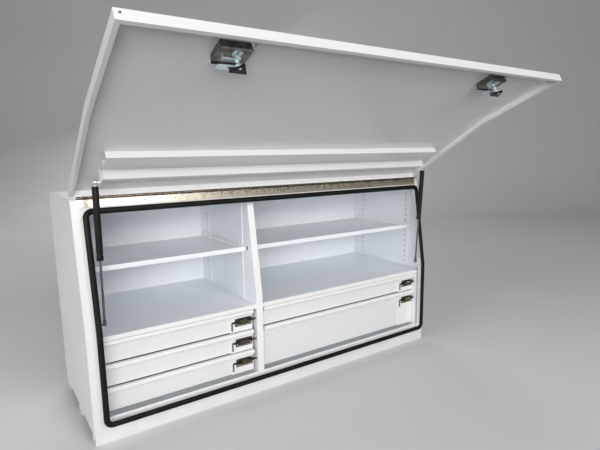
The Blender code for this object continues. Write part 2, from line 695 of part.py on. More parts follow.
# Locks: a pan let into the skin, a spindle with a cam inside, a folding T-handle outside.
def lock(word, side):
    middle = lock_middle(side)
    pan_x = middle - PAN_SHIFT
    floor_y = -LID_OUT + PAN_DEPTH
    half_w = PAN_WIDTH / 2
    half_h = PAN_HEIGHT / 2
    rim_y = -LID_OUT - GAP
    shape = box(pan_x - half_w, pan_x + half_w, rim_y - PAN_SHEET, floor_y,
                PAN_MIDDLE - half_h, PAN_MIDDLE + half_h)
    front = [face for face in shape.faces if face.normal.y < -0.5]
    bmesh.ops.delete(shape, geom=front, context="FACES_ONLY")
    border = [edge for edge in shape.edges if edge.is_boundary]
    result = bmesh.ops.extrude_edge_only(shape, edges=border)
    for vert in [item for item in result["geom"] if isinstance(item, bmesh.types.BMVert)]:
        vert.co.x += math.copysign(PAN_RIM, vert.co.x - pan_x)
        vert.co.z += math.copysign(PAN_RIM, vert.co.z - PAN_MIDDLE)
    bmesh.ops.recalc_face_normals(shape, faces=shape.faces)
    base = max(shape.faces, key=lambda face: face.calc_center_median().y)
    if base.normal.y < 0.0:
        bmesh.ops.reverse_faces(shape, faces=shape.faces)
    for vert in shape.verts:
        if vert.co.y < -LID_OUT:
            vert.co.y = rim_y
    hole = rod_between((middle, floor_y - CUT_PAST, LOCK_HEIGHT), (middle, floor_y + CUT_PAST, LOCK_HEIGHT),
                       SPINDLE_RADIUS + SPINDLE_PLAY)
    piece(word + "_lock_pan", fold(shape), STEEL, origin=HINGE_AXIS, parent=lid_pivot, sheet=PAN_SHEET,
          cuts=[fold(hole)])
    axis = folded((middle, 0.0, LOCK_HEIGHT))
    turn = pivot(word + "_lock_pivot", axis - HINGE_AXIS, parent=lid_pivot)
    hub_low = floor_y - PAN_SHEET - GAP
    hub_high = hub_low - HUB_LENGTH
    fold_y = (hub_low + hub_high) / 2
    spindle = rod_between((middle, hub_low - BITE, LOCK_HEIGHT), (middle, CAM_BEHIND + BITE, LOCK_HEIGHT),
                          SPINDLE_RADIUS)
    hub = rod_between((middle, hub_high, LOCK_HEIGHT), (middle, hub_low, LOCK_HEIGHT), HUB_RADIUS, 16)
    bore_reach = HUB_RADIUS + CUT_PAST
    arm = box(middle - CAM_LENGTH, middle + SPINDLE_RADIUS + CAM_HEEL, CAM_BEHIND, CAM_BEHIND + CAM_SHEET,
              LOCK_HEIGHT - CAM_WIDTH / 2, LOCK_HEIGHT + CAM_WIDTH / 2)
    bore = rod_between((middle - bore_reach, fold_y, LOCK_HEIGHT), (middle + bore_reach, fold_y, LOCK_HEIGHT),
                       HANDLE_PIN + HANDLE_PLAY, 10)
    piece(word + "_lock_cam", fold(spindle), ZINC, origin=axis, parent=turn, joins=[fold(hub), fold(arm)],
          cuts=[fold(bore)])
    hinge_place = folded((middle, fold_y, LOCK_HEIGHT))
    swing = pivot(word + "_handle_pivot", hinge_place - axis, parent=turn)
    half_t = HANDLE_THICK / 2
    inner = HUB_RADIUS + GAP + HANDLE_PLAY
    bar = box(middle - HANDLE_SPAN / 2, middle + HANDLE_SPAN / 2, fold_y - half_t, fold_y + half_t,
              LOCK_HEIGHT - HANDLE_REACH, LOCK_HEIGHT - HANDLE_REACH + HANDLE_BAR)
    pieces = [rod_between((middle - inner - HANDLE_ARM / 2, fold_y, LOCK_HEIGHT),
                          (middle + inner + HANDLE_ARM / 2, fold_y, LOCK_HEIGHT), HANDLE_PIN, 10)]
    for way in (-1, 1):
        x0 = middle + way * inner
        x1 = middle + way * (inner + HANDLE_ARM)
        pieces.append(box(min(x0, x1), max(x0, x1), fold_y - half_t, fold_y + half_t,
                          LOCK_HEIGHT - HANDLE_REACH + HANDLE_BAR / 2, LOCK_HEIGHT + half_t))
    piece(word + "_lock_handle", fold(bar), STEEL, origin=hinge_place, parent=swing,
          joins=[fold(shape) for shape in pieces])


lock("left", -1)
lock("right", 1)


# Gas struts: the cylinder hangs on the lid, the rod runs down to a bracket on the upstand.
def turned_open(point):
    """A point of the closed lid carried round the hinge to the open rest."""
    turn = Matrix.Rotation(-LID_OPEN_ANGLE, 3, "X")
    return HINGE_AXIS + turn @ (point - HINGE_AXIS)


def strut(word, side):
    x = side * STRUT_X
    stud = folded((x, -STRUT_LID_OUT, HINGE_V - STRUT_LID_DOWN))
    base_v = BEND_HEIGHT + (STRUT_BASE_HEIGHT - BEND_HEIGHT) / math.cos(LEAN)
    base = folded((x, -STRUT_BASE_OUT, base_v))
    stud_open = turned_open(stud)
    length = (stud_open - base).length
    half_eye = EYE_THICK / 2
    inner_face = side * (CHANNEL_HALF + GAP)
    outer_face = side * (CHANNEL_HALF + GAP + BRACKET_SHEET)
    high = HINGE_V - STRUT_LID_DOWN + BRACKET_HEIGHT / 2
    plate = fold(box(min(inner_face, outer_face), max(inner_face, outer_face), -LID_INNER + GAP,
                     -STRUT_LID_OUT + BRACKET_PAST, high - BRACKET_HEIGHT, high))
    pin_end = stud + Vector((side * (half_eye + STUD_PAST), 0.0, 0.0))
    pin_start = Vector((outer_face - side * BRACKET_SHEET / 2, stud.y, stud.z))
    piece(word + "_strut_lid_bracket", plate, WHITE, origin=HINGE_AXIS, parent=lid_pivot,
          joins=[rod_between(pin_start, pin_end, STUD_RADIUS, 10)])

    down = (base - stud_open).normalized()
    local_down = Matrix.Rotation(LID_OPEN_ANGLE, 3, "X") @ down
    hang = pivot(word + "_strut_pivot", stud - HINGE_AXIS, parent=lid_pivot)

    def along(distance, across=0.0):
        return stud + local_down * distance + Vector((side * across, 0.0, 0.0))

    eye = rod_between(along(0.0, -half_eye), along(0.0, half_eye), EYE_RADIUS, 14)
    tube = rod_between(along(EYE_RADIUS / 2), along(CYLINDER_LENGTH), CYLINDER_RADIUS, 14)
    collar = rod_between(along(CYLINDER_LENGTH - COLLAR_LENGTH), along(CYLINDER_LENGTH + COLLAR_PAST),
                         COLLAR_RADIUS, 14)
    bore = rod_between(along(CYLINDER_LENGTH - BORE_DEPTH), along(CYLINDER_LENGTH + CUT_PAST),
                       ROD_RADIUS + ROD_PLAY, 12)
    reach = half_eye + CUT_PAST
    trim_radius = CYLINDER_RADIUS + CUT_PAST
    hole = rod_between(along(0.0, -reach), along(0.0, reach), STUD_RADIUS + STUD_PLAY, 10)
    trim_a = rod_between(along(0.0, half_eye), along(0.0, half_eye + CUT_PAST), trim_radius, 14)
    trim_b = rod_between(along(0.0, -half_eye), along(0.0, -half_eye - CUT_PAST), trim_radius, 14)
    piece(word + "_strut_cylinder", tube, BLACK, origin=stud, parent=hang, joins=[eye, collar],
          cuts=[bore, hole, trim_a, trim_b])

    foot = length
    rod = rod_between(along(CYLINDER_LENGTH - ROD_HIDDEN), along(foot - LOW_EYE_RADIUS / 2), ROD_RADIUS, 12)
    low_eye = rod_between(along(foot, -half_eye), along(foot, half_eye), LOW_EYE_RADIUS, 14)
    low_pin = rod_between(along(foot, 0.0), along(foot, BASE_BRACKET_FACE - STRUT_X - GAP), STUD_RADIUS, 10)
    piece(word + "_strut_rod", rod, STEEL, origin=stud, parent=hang, joins=[low_eye, low_pin])

    upstand_face = OPENING_HALF - half_sheet - GAP
    x0 = side * BASE_BRACKET_FACE
    x1 = side * upstand_face
    piece(word + "_strut_base_bracket",
          fold(box(min(x0, x1), max(x0, x1), -BASE_BRACKET_FRONT, BASE_BRACKET_BACK,
                   base_v - BASE_BRACKET_HEIGHT / 2, base_v + BASE_BRACKET_HEIGHT / 2)), ZINC)


strut("left", -1)
strut("right", 1)


# Runner carriers: an upright plate with a pair of ledges for each drawer's side rail.
def rail_height(low):
    return low + DRAWER_BOTTOM_RISE + RAIL_UP


def carrier(name, plate_x0, plate_x1, way, fronts, start, filler=None, holes=()):
    """The ledges stand out of the plate on the side named by way."""
    low = FLOOR_TOP + GAP
    high = DECK_UNDER - GAP
    body = box(plate_x0, plate_x1, face_y(start), face_y(RUNNER_START + RUNNER_LENGTH), low, high)
    joins = []
    root = plate_x1 - BITE if way > 0 else plate_x0 + BITE
    tip = plate_x1 + RUNNER_GAP - LEDGE_CLEAR if way > 0 else plate_x0 - RUNNER_GAP + LEDGE_CLEAR
    for bottom, top in fronts:
        middle = rail_height(bottom)
        for edge in (middle - RAIL_TALL / 2 - RAIL_PLAY - LEDGE, middle + RAIL_TALL / 2 + RAIL_PLAY):
            joins.append(box(min(root, tip), max(root, tip), face_y(RUNNER_START),
                             face_y(RUNNER_START + RUNNER_LENGTH - LEDGE_END), edge, edge + LEDGE))
    if filler is not None:
        joins.append(box(min(filler, plate_x0), max(filler, plate_x1), face_y(start), face_y(start) + SHEET,
                         low, high))
    piece(name, body, WHITE, joins=joins, cuts=holes)


def lip_slot(x0, x1):
    """The slot in a carrier plate that the deck's front lip drops into."""
    return box(x0 - CUT_PAST, x1 + CUT_PAST, face_y(DRAWER_RECESS) - GAP, face_y(DRAWER_RECESS) + SHEET + GAP,
               DECK_HEIGHT - DECK_LIP - GAP, DECK_HEIGHT)


carrier("left_wall_runners", -FILLER_X - SHEET, -FILLER_X, 1, FRONTS_LEFT, FILLER_RECESS, -INNER_X,
        [lip_slot(-FILLER_X - SHEET, -FILLER_X)])
carrier("partition_left_runners", PARTITION_LEFT - GAP - SHEET, PARTITION_LEFT - GAP, -1, FRONTS_LEFT,
        RUNNER_START)
carrier("partition_right_runners", PARTITION_RIGHT + GAP, PARTITION_RIGHT + GAP + SHEET, 1, FRONTS_RIGHT,
        RUNNER_START)
right_keepers = keeper_holes(FRONTS_RIGHT, FILLER_X - CUT_PAST, FILLER_X + SHEET + CUT_PAST)
right_keepers.append(lip_slot(FILLER_X, FILLER_X + SHEET))
carrier("right_wall_runners", FILLER_X, FILLER_X + SHEET, -1, FRONTS_RIGHT, FILLER_RECESS, INNER_X,
        right_keepers)


# Drawers: box, face, rolled lip, raised latch plate and side rails in one folded and welded piece.
def drawer(name, x0, x1, low, high, rail_x0, rail_x1, keeper_x):
    y_lip = face_y(DRAWER_RECESS)
    y_face = face_y(DRAWER_RECESS + DRAWER_LIP)
    y_back = y_face + DRAWER_LENGTH
    bx0 = x0 + DRAWER_SIDE
    bx1 = x1 - DRAWER_SIDE
    bz0 = low + DRAWER_BOTTOM_RISE
    bz1 = high - DRAWER_WALL_DROP
    middle = ((x0 + x1) / 2, y_face, (low + high) / 2)
    tub = box(bx0, bx1, y_face + SHEET - BITE, y_back, bz0, bz1)
    tub_hole = box(bx0 + SHEET, bx1 - SHEET, y_face + 2 * SHEET, y_back - SHEET, bz0 + SHEET,
                   bz1 + CUT_PAST)
    front = box(x0, x1, y_face, y_face + SHEET, low, high)
    lip_low = high - DRAWER_LIP_HEIGHT
    lip_top = box(x0, x1, y_lip, y_face + SHEET / 2, high - SHEET, high)
    lip_front = box(x0, x1, y_lip, y_lip + SHEET, lip_low, high - SHEET / 2)
    hem = box(x0, x1, y_lip + SHEET / 2, y_lip + DRAWER_HEM, lip_low, lip_low + SHEET)
    plate_x1 = x1 - LATCH_PLATE_INSET
    plate_x0 = plate_x1 - LATCH_PLATE_WIDTH
    y_plate = face_y(LATCH_RECESS)
    past = y_face + SHEET / 2
    plate_top = high - SHEET / 2
    plate = pulled([(plate_x0, y_plate, low), (plate_x1, y_plate, low), (plate_x1, past, low),
                    (plate_x1 - SHEET, past, low), (plate_x1 - SHEET, y_plate + SHEET, low),
                    (plate_x0 + SHEET, y_plate + SHEET, low), (plate_x0 + SHEET, past, low),
                    (plate_x0, past, low)], (0.0, 0.0, plate_top - low))
    z = rail_height(low)
    rails = [box(rail_x0, bx0 + BITE, face_y(RUNNER_START) + RAIL_END, y_back - RAIL_END,
                 z - RAIL_TALL / 2, z + RAIL_TALL / 2),
             box(bx1 - BITE, rail_x1, face_y(RUNNER_START) + RAIL_END, y_back - RAIL_END,
                 z - RAIL_TALL / 2, z + RAIL_TALL / 2)]
    made = piece(name, tub, WHITE, origin=middle, joins=[front, lip_top, lip_front, hem, plate] + rails,
                 cuts=[tub_hole])
    latch(name, made, Vector(middle), plate_x1, keeper_x - BOLT_END_CLEAR, y_plate, high - LATCH_DROP)


# Barrel bolt: a strap bent over the bolt and screwed to the latch plate, with a tail past its left end.
def latch(owner, body, home, plate_x1, tip_x, y_plate, z):
    x1 = plate_x1 - LATCH_END_INSET
    x0 = x1 - LATCH_LENGTH
    y_base = y_plate - GAP
    bore = BOLT_RADIUS + BOLT_PLAY
    wall = bore + STRAP_SHEET
    axis_y = bolt_y
    outline = [(x0, y_base, z - wall - LATCH_FLANGE), (x0, y_base - STRAP_SHEET, z - wall - LATCH_FLANGE),
               (x0, y_base - STRAP_SHEET, z - wall)]
    steps = 6
    for step in range(steps + 1):
        angle = math.pi * step / steps
        outline.append((x0, axis_y - wall * math.sin(angle), z - wall * math.cos(angle)))
    outline += [(x0, y_base - STRAP_SHEET, z + wall), (x0, y_base - STRAP_SHEET, z + wall + LATCH_FLANGE),
                (x0, y_base, z + wall + LATCH_FLANGE), (x0, y_base, z + bore)]
    for step in range(steps + 1):
        angle = math.pi * (steps - step) / steps
        outline.append((x0, axis_y - bore * math.sin(angle), z - bore * math.cos(angle)))
    outline.append((x0, y_base, z - bore))
    strap = pulled(outline, (LATCH_LENGTH, 0.0, 0.0))
    window_x0 = x0 + (LATCH_LENGTH - BOLT_WINDOW) / 2
    window = box(window_x0, window_x0 + BOLT_WINDOW, axis_y - wall - CUT_PAST, y_base - STRAP_SHEET - BITE,
                 z - wall - CUT_PAST, z + wall + CUT_PAST)
    home_place = (x0, axis_y, z)
    housing = piece(owner + "_latch", strap, STEEL, origin=home_place, cuts=[window])
    housing.parent = body
    housing.location = Vector(home_place) - home
    for tool in bpy.data.collections[owner + "_latch_cut"].objects:
        tool.parent = body
        tool.location = housing.location
    half_tail = BOLT_TAIL_WIDTH / 2
    tail_x1 = x0 - BOLT_TRAVEL - GAP
    tail_x0 = tail_x1 - BOLT_TAIL_WIDTH
    bar = rod_between((tail_x0 + half_tail, axis_y, z), (tip_x, axis_y, z), BOLT_RADIUS)
    hang = box(tail_x0, tail_x1, axis_y - half_tail, axis_y + half_tail, z - BOLT_TAIL_DROP, z + half_tail)
    bolt = piece(owner + "_bolt", bar, STEEL, origin=home_place, joins=[hang])
    bolt.parent = body
    bolt.location = Vector(home_place) - home
    for tool in bpy.data.collections[owner + "_bolt_join"].objects:
        tool.parent = body
        tool.location = bolt.location


left_x0 = -FILLER_X + DRAWER_WALL_GAP
left_x1 = PARTITION_LEFT - DRAWER_END_GAP
left_rail_x0 = -FILLER_X + RAIL_PLAY
left_rail_x1 = PARTITION_LEFT - GAP - SHEET - RAIL_PLAY
for word, (low, high) in zip(("left_top", "left_middle", "left_bottom"), FRONTS_LEFT):
    drawer(word + "_drawer", left_x0, left_x1, low, high, left_rail_x0, left_rail_x1, PARTITION_LEFT)

right_x0 = PARTITION_RIGHT + RUNNER_GAP
right_x1 = FILLER_X - DRAWER_WALL_GAP
right_rail_x0 = PARTITION_RIGHT + GAP + SHEET + RAIL_PLAY
right_rail_x1 = FILLER_X - RAIL_PLAY
for word, (low, high) in zip(("right_shallow", "right_deep"), FRONTS_RIGHT):
    drawer(word + "_drawer", right_x0, right_x1, low, high, right_rail_x0, right_rail_x1, FILLER_X)
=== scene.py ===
# %% [markdown]
# # A white steel tool chest for a vehicle tray
# This lesson dresses a finished CAD model. The frame brings in every solid at its real place, in metres,
# and each cell below either paints a solid, rounds its folded edges, or replaces it with a finer piece.

# %% Load the frame
import json
import math

import bmesh
import bpy
from mathutils import Matrix, Vector

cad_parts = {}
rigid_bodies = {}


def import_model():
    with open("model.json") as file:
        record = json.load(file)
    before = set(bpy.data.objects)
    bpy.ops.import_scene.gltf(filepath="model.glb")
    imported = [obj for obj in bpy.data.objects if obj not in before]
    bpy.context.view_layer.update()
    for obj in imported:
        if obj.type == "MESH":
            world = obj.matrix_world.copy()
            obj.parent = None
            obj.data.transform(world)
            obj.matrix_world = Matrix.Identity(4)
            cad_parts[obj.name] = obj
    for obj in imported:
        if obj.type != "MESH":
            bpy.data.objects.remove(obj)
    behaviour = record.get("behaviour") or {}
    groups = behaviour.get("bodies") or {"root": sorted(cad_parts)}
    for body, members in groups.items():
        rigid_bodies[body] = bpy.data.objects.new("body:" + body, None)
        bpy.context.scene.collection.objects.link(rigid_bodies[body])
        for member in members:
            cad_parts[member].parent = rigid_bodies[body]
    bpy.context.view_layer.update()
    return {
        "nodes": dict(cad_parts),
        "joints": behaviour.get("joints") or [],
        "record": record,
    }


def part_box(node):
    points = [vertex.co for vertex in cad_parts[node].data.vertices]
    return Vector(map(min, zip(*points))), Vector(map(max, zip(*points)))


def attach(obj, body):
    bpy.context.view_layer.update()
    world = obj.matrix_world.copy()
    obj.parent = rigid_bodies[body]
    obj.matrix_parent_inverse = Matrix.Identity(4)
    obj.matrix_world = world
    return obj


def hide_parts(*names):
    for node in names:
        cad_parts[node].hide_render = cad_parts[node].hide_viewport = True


for leftover in list(bpy.data.objects):
    bpy.data.objects.remove(leftover, do_unlink=True)
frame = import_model()
nodes = frame["nodes"]
joints = {joint["name"]: joint for joint in frame["joints"]}
home_body = {node: body for body, names in frame["record"]["behaviour"]["bodies"].items() for node in names}

# %% [markdown]
# ## The camera
# The photograph's straight edges fix where the camera stood: a little left of the chest, about a metre
# up, with a wide lens. A camera is placed by its position and three angles, so those are the values here.
# The picture's middle isn't quite on the lens axis, which Blender calls shift.

# %% Place the camera
PICTURE = (600, 450)
CAMERA_AT = Vector((-1.111, -1.9431, 1.0181))
CAMERA_YAW, CAMERA_PITCH, CAMERA_ROLL = 0.592, -0.1672, -0.0154
FOCAL_PIXELS = 472.61
AXIS_OFFSET = (-7.06, 7.48)

level = math.cos(CAMERA_PITCH)
ahead = Vector((math.sin(CAMERA_YAW) * level, math.cos(CAMERA_YAW) * level, math.sin(CAMERA_PITCH)))
level_right = ahead.cross(Vector((0.0, 0.0, 1.0))).normalized()
level_up = level_right.cross(ahead)
right = level_right * math.cos(CAMERA_ROLL) + level_up * math.sin(CAMERA_ROLL)
upward = level_up * math.cos(CAMERA_ROLL) - level_right * math.sin(CAMERA_ROLL)
lens = bpy.data.cameras.new("camera")
lens.sensor_width = 36.0
lens.lens = FOCAL_PIXELS / PICTURE[0] * lens.sensor_width
lens.shift_x = -AXIS_OFFSET[0] / PICTURE[0]
lens.shift_y = AXIS_OFFSET[1] / PICTURE[0]
lens.clip_end = 60.0
camera = bpy.data.objects.new("camera", lens)
bpy.context.scene.collection.objects.link(camera)
turn = Matrix((right, upward, -ahead)).transposed().to_4x4()
camera.matrix_world = Matrix.Translation(CAMERA_AT) @ turn
bpy.context.scene.camera = camera
print("camera: lens %.2f mm, shift %.4f %.4f" % (lens.lens, lens.shift_x, lens.shift_y))

# %% [markdown]
# ## Node groups that several finishes share
# Powder coat, rubber and steel are never one flat colour. Three small groups carry what repeats: a slow
# drift of tone, the fine dimples that powder coat dries with, and the long lines of brushed metal. A group
# only gives out colours, masks and heights. The shader itself stays in each material.

# %% Helpers for node trees
def start_group(name, inputs, outputs):
    tree = bpy.data.node_groups.new(name, "ShaderNodeTree")
    for label, kind, value in inputs:
        socket = tree.interface.new_socket(name=label, in_out="INPUT", socket_type=kind)
        socket.default_value = value
    for label, kind in outputs:
        tree.interface.new_socket(name=label, in_out="OUTPUT", socket_type=kind)
    return tree, tree.nodes.new("NodeGroupInput"), tree.nodes.new("NodeGroupOutput")


def add(tree, kind, **settings):
    node = tree.nodes.new("ShaderNode" + kind)
    for label, value in settings.items():
        setattr(node, label, value)
    return node


def noise_on(tree, coordinate, scale, detail=2.0, roughness=0.5):
    made = add(tree, "TexNoise")
    made.inputs["Detail"].default_value = detail
    made.inputs["Roughness"].default_value = roughness
    tree.links.new(coordinate, made.inputs["Vector"])
    if isinstance(scale, (int, float)):
        made.inputs["Scale"].default_value = scale
    else:
        tree.links.new(scale, made.inputs["Scale"])
    return made.outputs["Fac"]


def ranged(tree, value, from_low, from_high, to_low, to_high):
    made = add(tree, "MapRange")
    numbers = {"From Min": from_low, "From Max": from_high, "To Min": to_low, "To Max": to_high}
    for label, number in numbers.items():
        made.inputs[label].default_value = number
    tree.links.new(value, made.inputs["Value"])
    return made.outputs["Result"]


def mixed(tree, share, first, second):
    made = add(tree, "Mix", data_type="RGBA")
    for source, socket in ((share, made.inputs[0]), (first, made.inputs[6]), (second, made.inputs[7])):
        if isinstance(source, (int, float, tuple)):
            socket.default_value = source
        else:
            tree.links.new(source, socket)
    return made.outputs[2]


def joined(tree, operation, first, second):
    made = add(tree, "Math", operation=operation)
    tree.links.new(first, made.inputs[0])
    tree.links.new(second, made.inputs[1])
    return made.outputs["Value"]


# %% The tone drift
NUMBER, COLOUR = "NodeSocketFloat", "NodeSocketColor"
drift, drift_in, drift_out = start_group(
    "tone_drift",
    (("Tone", COLOUR, (0.8, 0.8, 0.8, 1.0)), ("Drift", COLOUR, (0.7, 0.7, 0.7, 1.0)),
     ("Patches", NUMBER, 3.0)),
    (("Colour", COLOUR), ("Mask", NUMBER)))
spot = add(drift, "TexCoord").outputs["Object"]
drift_mask = ranged(drift, noise_on(drift, spot, drift_in.outputs["Patches"], 4.0, 0.6), 0.38, 0.66, 0.0, 1.0)
drift_colour = mixed(drift, drift_mask, drift_in.outputs["Tone"], drift_in.outputs["Drift"])
drift.links.new(drift_colour, drift_out.inputs["Colour"])
drift.links.new(drift_mask, drift_out.inputs["Mask"])

# %% The coat's dimples and the brushed lines
dimples, dimples_in, dimples_out = start_group(
    "coat_dimples", (("Size", NUMBER, 420.0),), (("Height", NUMBER), ("Gloss", NUMBER)))
spot = add(dimples, "TexCoord").outputs["Object"]
dimples.links.new(noise_on(dimples, spot, dimples_in.outputs["Size"], 1.0), dimples_out.inputs["Height"])
sheen = ranged(dimples, noise_on(dimples, spot, 9.0, 3.0), 0.3, 0.7, 0.0, 1.0)
dimples.links.new(sheen, dimples_out.inputs["Gloss"])

brush, brush_in, brush_out = start_group("brushed_lines", (("Fineness", NUMBER, 1.0),), (("Lines", NUMBER),))
stretch = add(brush, "Mapping")
stretch.inputs["Scale"].default_value = (14.0, 900.0, 900.0)
brush.links.new(add(brush, "TexCoord").outputs["Object"], stretch.inputs["Vector"])
lines = noise_on(brush, stretch.outputs["Vector"], brush_in.outputs["Fineness"], 3.0, 0.6)
brush.links.new(lines, brush_out.inputs["Lines"])
print("groups:", [group.name for group in bpy.data.node_groups])

# %% [markdown]
# ## Finishes
# Each finish is one Principled shader. Paint gets its tone and its sheen from the groups and a very low
# bump from the dimples. Metals take their roughness from the brushed lines, because that is where the
# streaks in a real reflection come from. Values that are the same everywhere go straight on the socket.

# %% Helpers for a finish
def start_finish(name):
    made = bpy.data.materials.new(name)
    made.use_nodes = True
    return made, made.node_tree, made.node_tree.nodes["Principled BSDF"]


def use_group(tree, group, **values):
    made = add(tree, "Group")
    made.node_tree = group
    for label, value in values.items():
        made.inputs[label].default_value = value
    return made.outputs


def raise_surface(tree, shader, height, strength, distance):
    made = add(tree, "Bump")
    made.inputs["Strength"].default_value = strength
    made.inputs["Distance"].default_value = distance
    tree.links.new(height, made.inputs["Height"])
    tree.links.new(made.outputs["Normal"], shader.inputs["Normal"])


def coat(name, tone, drift_tone, rough_low, rough_high, patches=2.2, grain=260.0, relief=0.05, shine=0.5):
    made, tree, shader = start_finish(name)
    shader.inputs["Specular IOR Level"].default_value = shine
    tones = use_group(tree, drift, Tone=(*tone, 1.0), Drift=(*drift_tone, 1.0), Patches=patches)
    tree.links.new(tones["Colour"], shader.inputs["Base Color"])
    skin = use_group(tree, dimples, Size=grain)
    tree.links.new(ranged(tree, skin["Gloss"], 0.0, 1.0, rough_low, rough_high), shader.inputs["Roughness"])
    raise_surface(tree, shader, skin["Height"], relief, 0.0004)
    return made


def bare_metal(name, tone, drift_tone, rough_low, rough_high, fineness=1.0, patches=24.0, relief=0.15):
    made, tree, shader = start_finish(name)
    shader.inputs["Metallic"].default_value = 1.0
    tones = use_group(tree, drift, Tone=(*tone, 1.0), Drift=(*drift_tone, 1.0), Patches=patches)
    tree.links.new(tones["Colour"], shader.inputs["Base Color"])
    streaks = use_group(tree, brush, Fineness=fineness)["Lines"]
    tree.links.new(ranged(tree, streaks, 0.3, 0.7, rough_low, rough_high), shader.inputs["Roughness"])
    raise_surface(tree, shader, streaks, relief, 0.0002)
    return made


# %% Mix the paints and the metals
outer_paint = coat("outer_white_coat", (0.82, 0.82, 0.82), (0.79, 0.79, 0.795), 0.30, 0.40)
# A bluer, lighter copy of the white paint for every face inside the bays: painted light for the light that
# reaches in there.
inside_lit_paint = coat("inner_white_coat", (0.865, 0.895, 0.93), (0.84, 0.875, 0.915), 0.28, 0.40)
# Drawer faces take a darker copy of the white paint, painted shade under the lips; the lips and other front
# faces take a lighter copy, a painted highlight.
drawer_shaded_paint = coat("drawer_white_coat", (0.785, 0.79, 0.79), (0.755, 0.76, 0.765), 0.26, 0.36)
lip_highlight_paint = coat("lip_white_coat", (0.86, 0.86, 0.855), (0.83, 0.83, 0.83), 0.24, 0.34)
lid_paint = coat("lid_white_coat", (0.78, 0.785, 0.785), (0.745, 0.75, 0.755), 0.16, 0.26, 1.4)
rail_paint = coat("rail_white_coat", (0.82, 0.82, 0.815), (0.76, 0.755, 0.745), 0.32, 0.46, 5.0)
# A darker copy of the white paint for the whole front frame: painted shade.
frame_shaded_paint = coat("frame_white_coat", (0.765, 0.765, 0.76), (0.74, 0.74, 0.74), 0.30, 0.40)
# The brightest copy of the white paint, a painted highlight: on the upright lips of the shelves, and on the
# lid's hinge leaf and its rivets, which are white paint too.
band_highlight_paint = coat("band_white_coat", (0.93, 0.93, 0.925), (0.90, 0.90, 0.90), 0.22, 0.32)
seal_rubber = coat("seal_rubber", (0.004, 0.004, 0.0045), (0.009, 0.009, 0.0095), 0.42, 0.56, 14.0, 900.0,
                   relief=0.25, shine=0.15)
# Black enamel for the struts, the wedges and the seal's join. The same near-black also draws the painted
# shade in the slits between the drawers, the slot of each lock's disc, the drain hole and the gap by the left
# shelf.
black_enamel_and_shade = coat("strut_black_enamel", (0.006, 0.006, 0.0065), (0.012, 0.012, 0.013), 0.20, 0.30, 20.0,
                   700.0, shine=0.2)
shade_paint = coat("slot_shade", (0.34, 0.35, 0.37), (0.24, 0.25, 0.27), 0.5, 0.7, 40.0)
# Two copies of the latch steel: a bright one, a painted highlight, and a near-black one, painted shade.
latch_highlight_steel = bare_metal("latch_stainless", (0.74, 0.66, 0.55), (0.26, 0.22, 0.17), 0.12, 0.30, 1.6, 170.0)
latch_shade_steel = bare_metal("latch_shaded_steel", (0.030, 0.026, 0.022), (0.16, 0.13, 0.10), 0.18, 0.36, 1.6,
                        190.0)
# The lock pans and handles take a darkened copy of stainless: painted dark reflection.
pan_dark_reflection_steel = bare_metal("pan_stainless", (0.22, 0.21, 0.195), (0.10, 0.098, 0.09), 0.20, 0.36, 1.2, 60.0)
zinc_plate = bare_metal("bright_zinc", (0.82, 0.90, 0.92), (0.46, 0.56, 0.59), 0.26, 0.44, 2.0, 150.0)
rod_steel = bare_metal("dark_rod_steel", (0.20, 0.20, 0.21), (0.12, 0.12, 0.13), 0.14, 0.26, 2.4, 40.0, 0.05)

# %% [markdown]
# The piano hinge's leaf is bright and creamy near the left end. From there on its upper edge, next to the
# knuckles, is darkened in short dashes, and a stretch on the right is darkened over the whole leaf. These
# dark marks are painted dark reflections. Ramps along X and Z say how far the dark reaches, and a noise
# stretched along X draws the dashes.

# %% Paint dark reflections on the hinge
LEAF_MIDDLE, EDGE_SHADE_RAMP = (0.853, 0.860), (-0.40, -0.28)
DARK_STRETCH_FROM, DARK_STRETCH_TO = (0.18, 0.30), (0.52, 0.62)
hinge_steel, tree, shader = start_finish("hinge_stainless")
shader.inputs["Metallic"].default_value = 0.85
tones = use_group(tree, drift, Tone=(0.74, 0.68, 0.57, 1.0), Drift=(0.58, 0.52, 0.41, 1.0), Patches=40.0)
place = add(tree, "TexCoord").outputs["Object"]
apart = add(tree, "SeparateXYZ")
tree.links.new(place, apart.inputs["Vector"])
upper_half = ranged(tree, apart.outputs["Z"], *LEAF_MIDDLE, 0.0, 1.0)
shaded_edge = joined(tree, "MULTIPLY", upper_half, ranged(tree, apart.outputs["X"], *EDGE_SHADE_RAMP, 0.1, 0.8))
dark_stretch_start = ranged(tree, apart.outputs["X"], *DARK_STRETCH_FROM, 0.0, 1.0)
dark_stretch_end = ranged(tree, apart.outputs["X"], *DARK_STRETCH_TO, 0.45, 0.05)
reach = joined(tree, "MAXIMUM", shaded_edge, joined(tree, "MULTIPLY", dark_stretch_start, dark_stretch_end))
dash_stretch = add(tree, "Mapping")
dash_stretch.inputs["Scale"].default_value = (95.0, 170.0, 170.0)
tree.links.new(place, dash_stretch.inputs["Vector"])
dashes = ranged(tree, noise_on(tree, dash_stretch.outputs["Vector"], 1.0, 2.0, 0.6), 0.48, 0.56, 0.0, 1.0)
painted_dark = joined(tree, "MULTIPLY", reach, dashes)
tree.links.new(mixed(tree, painted_dark, tones["Colour"], (0.15, 0.125, 0.095, 1.0)), shader.inputs["Base Color"])
tree.links.new(ranged(tree, painted_dark, 0.0, 1.0, 0.28, 0.44), shader.inputs["Roughness"])
raise_surface(tree, shader, use_group(tree, brush, Fineness=1.0)["Lines"], 0.10, 0.0002)
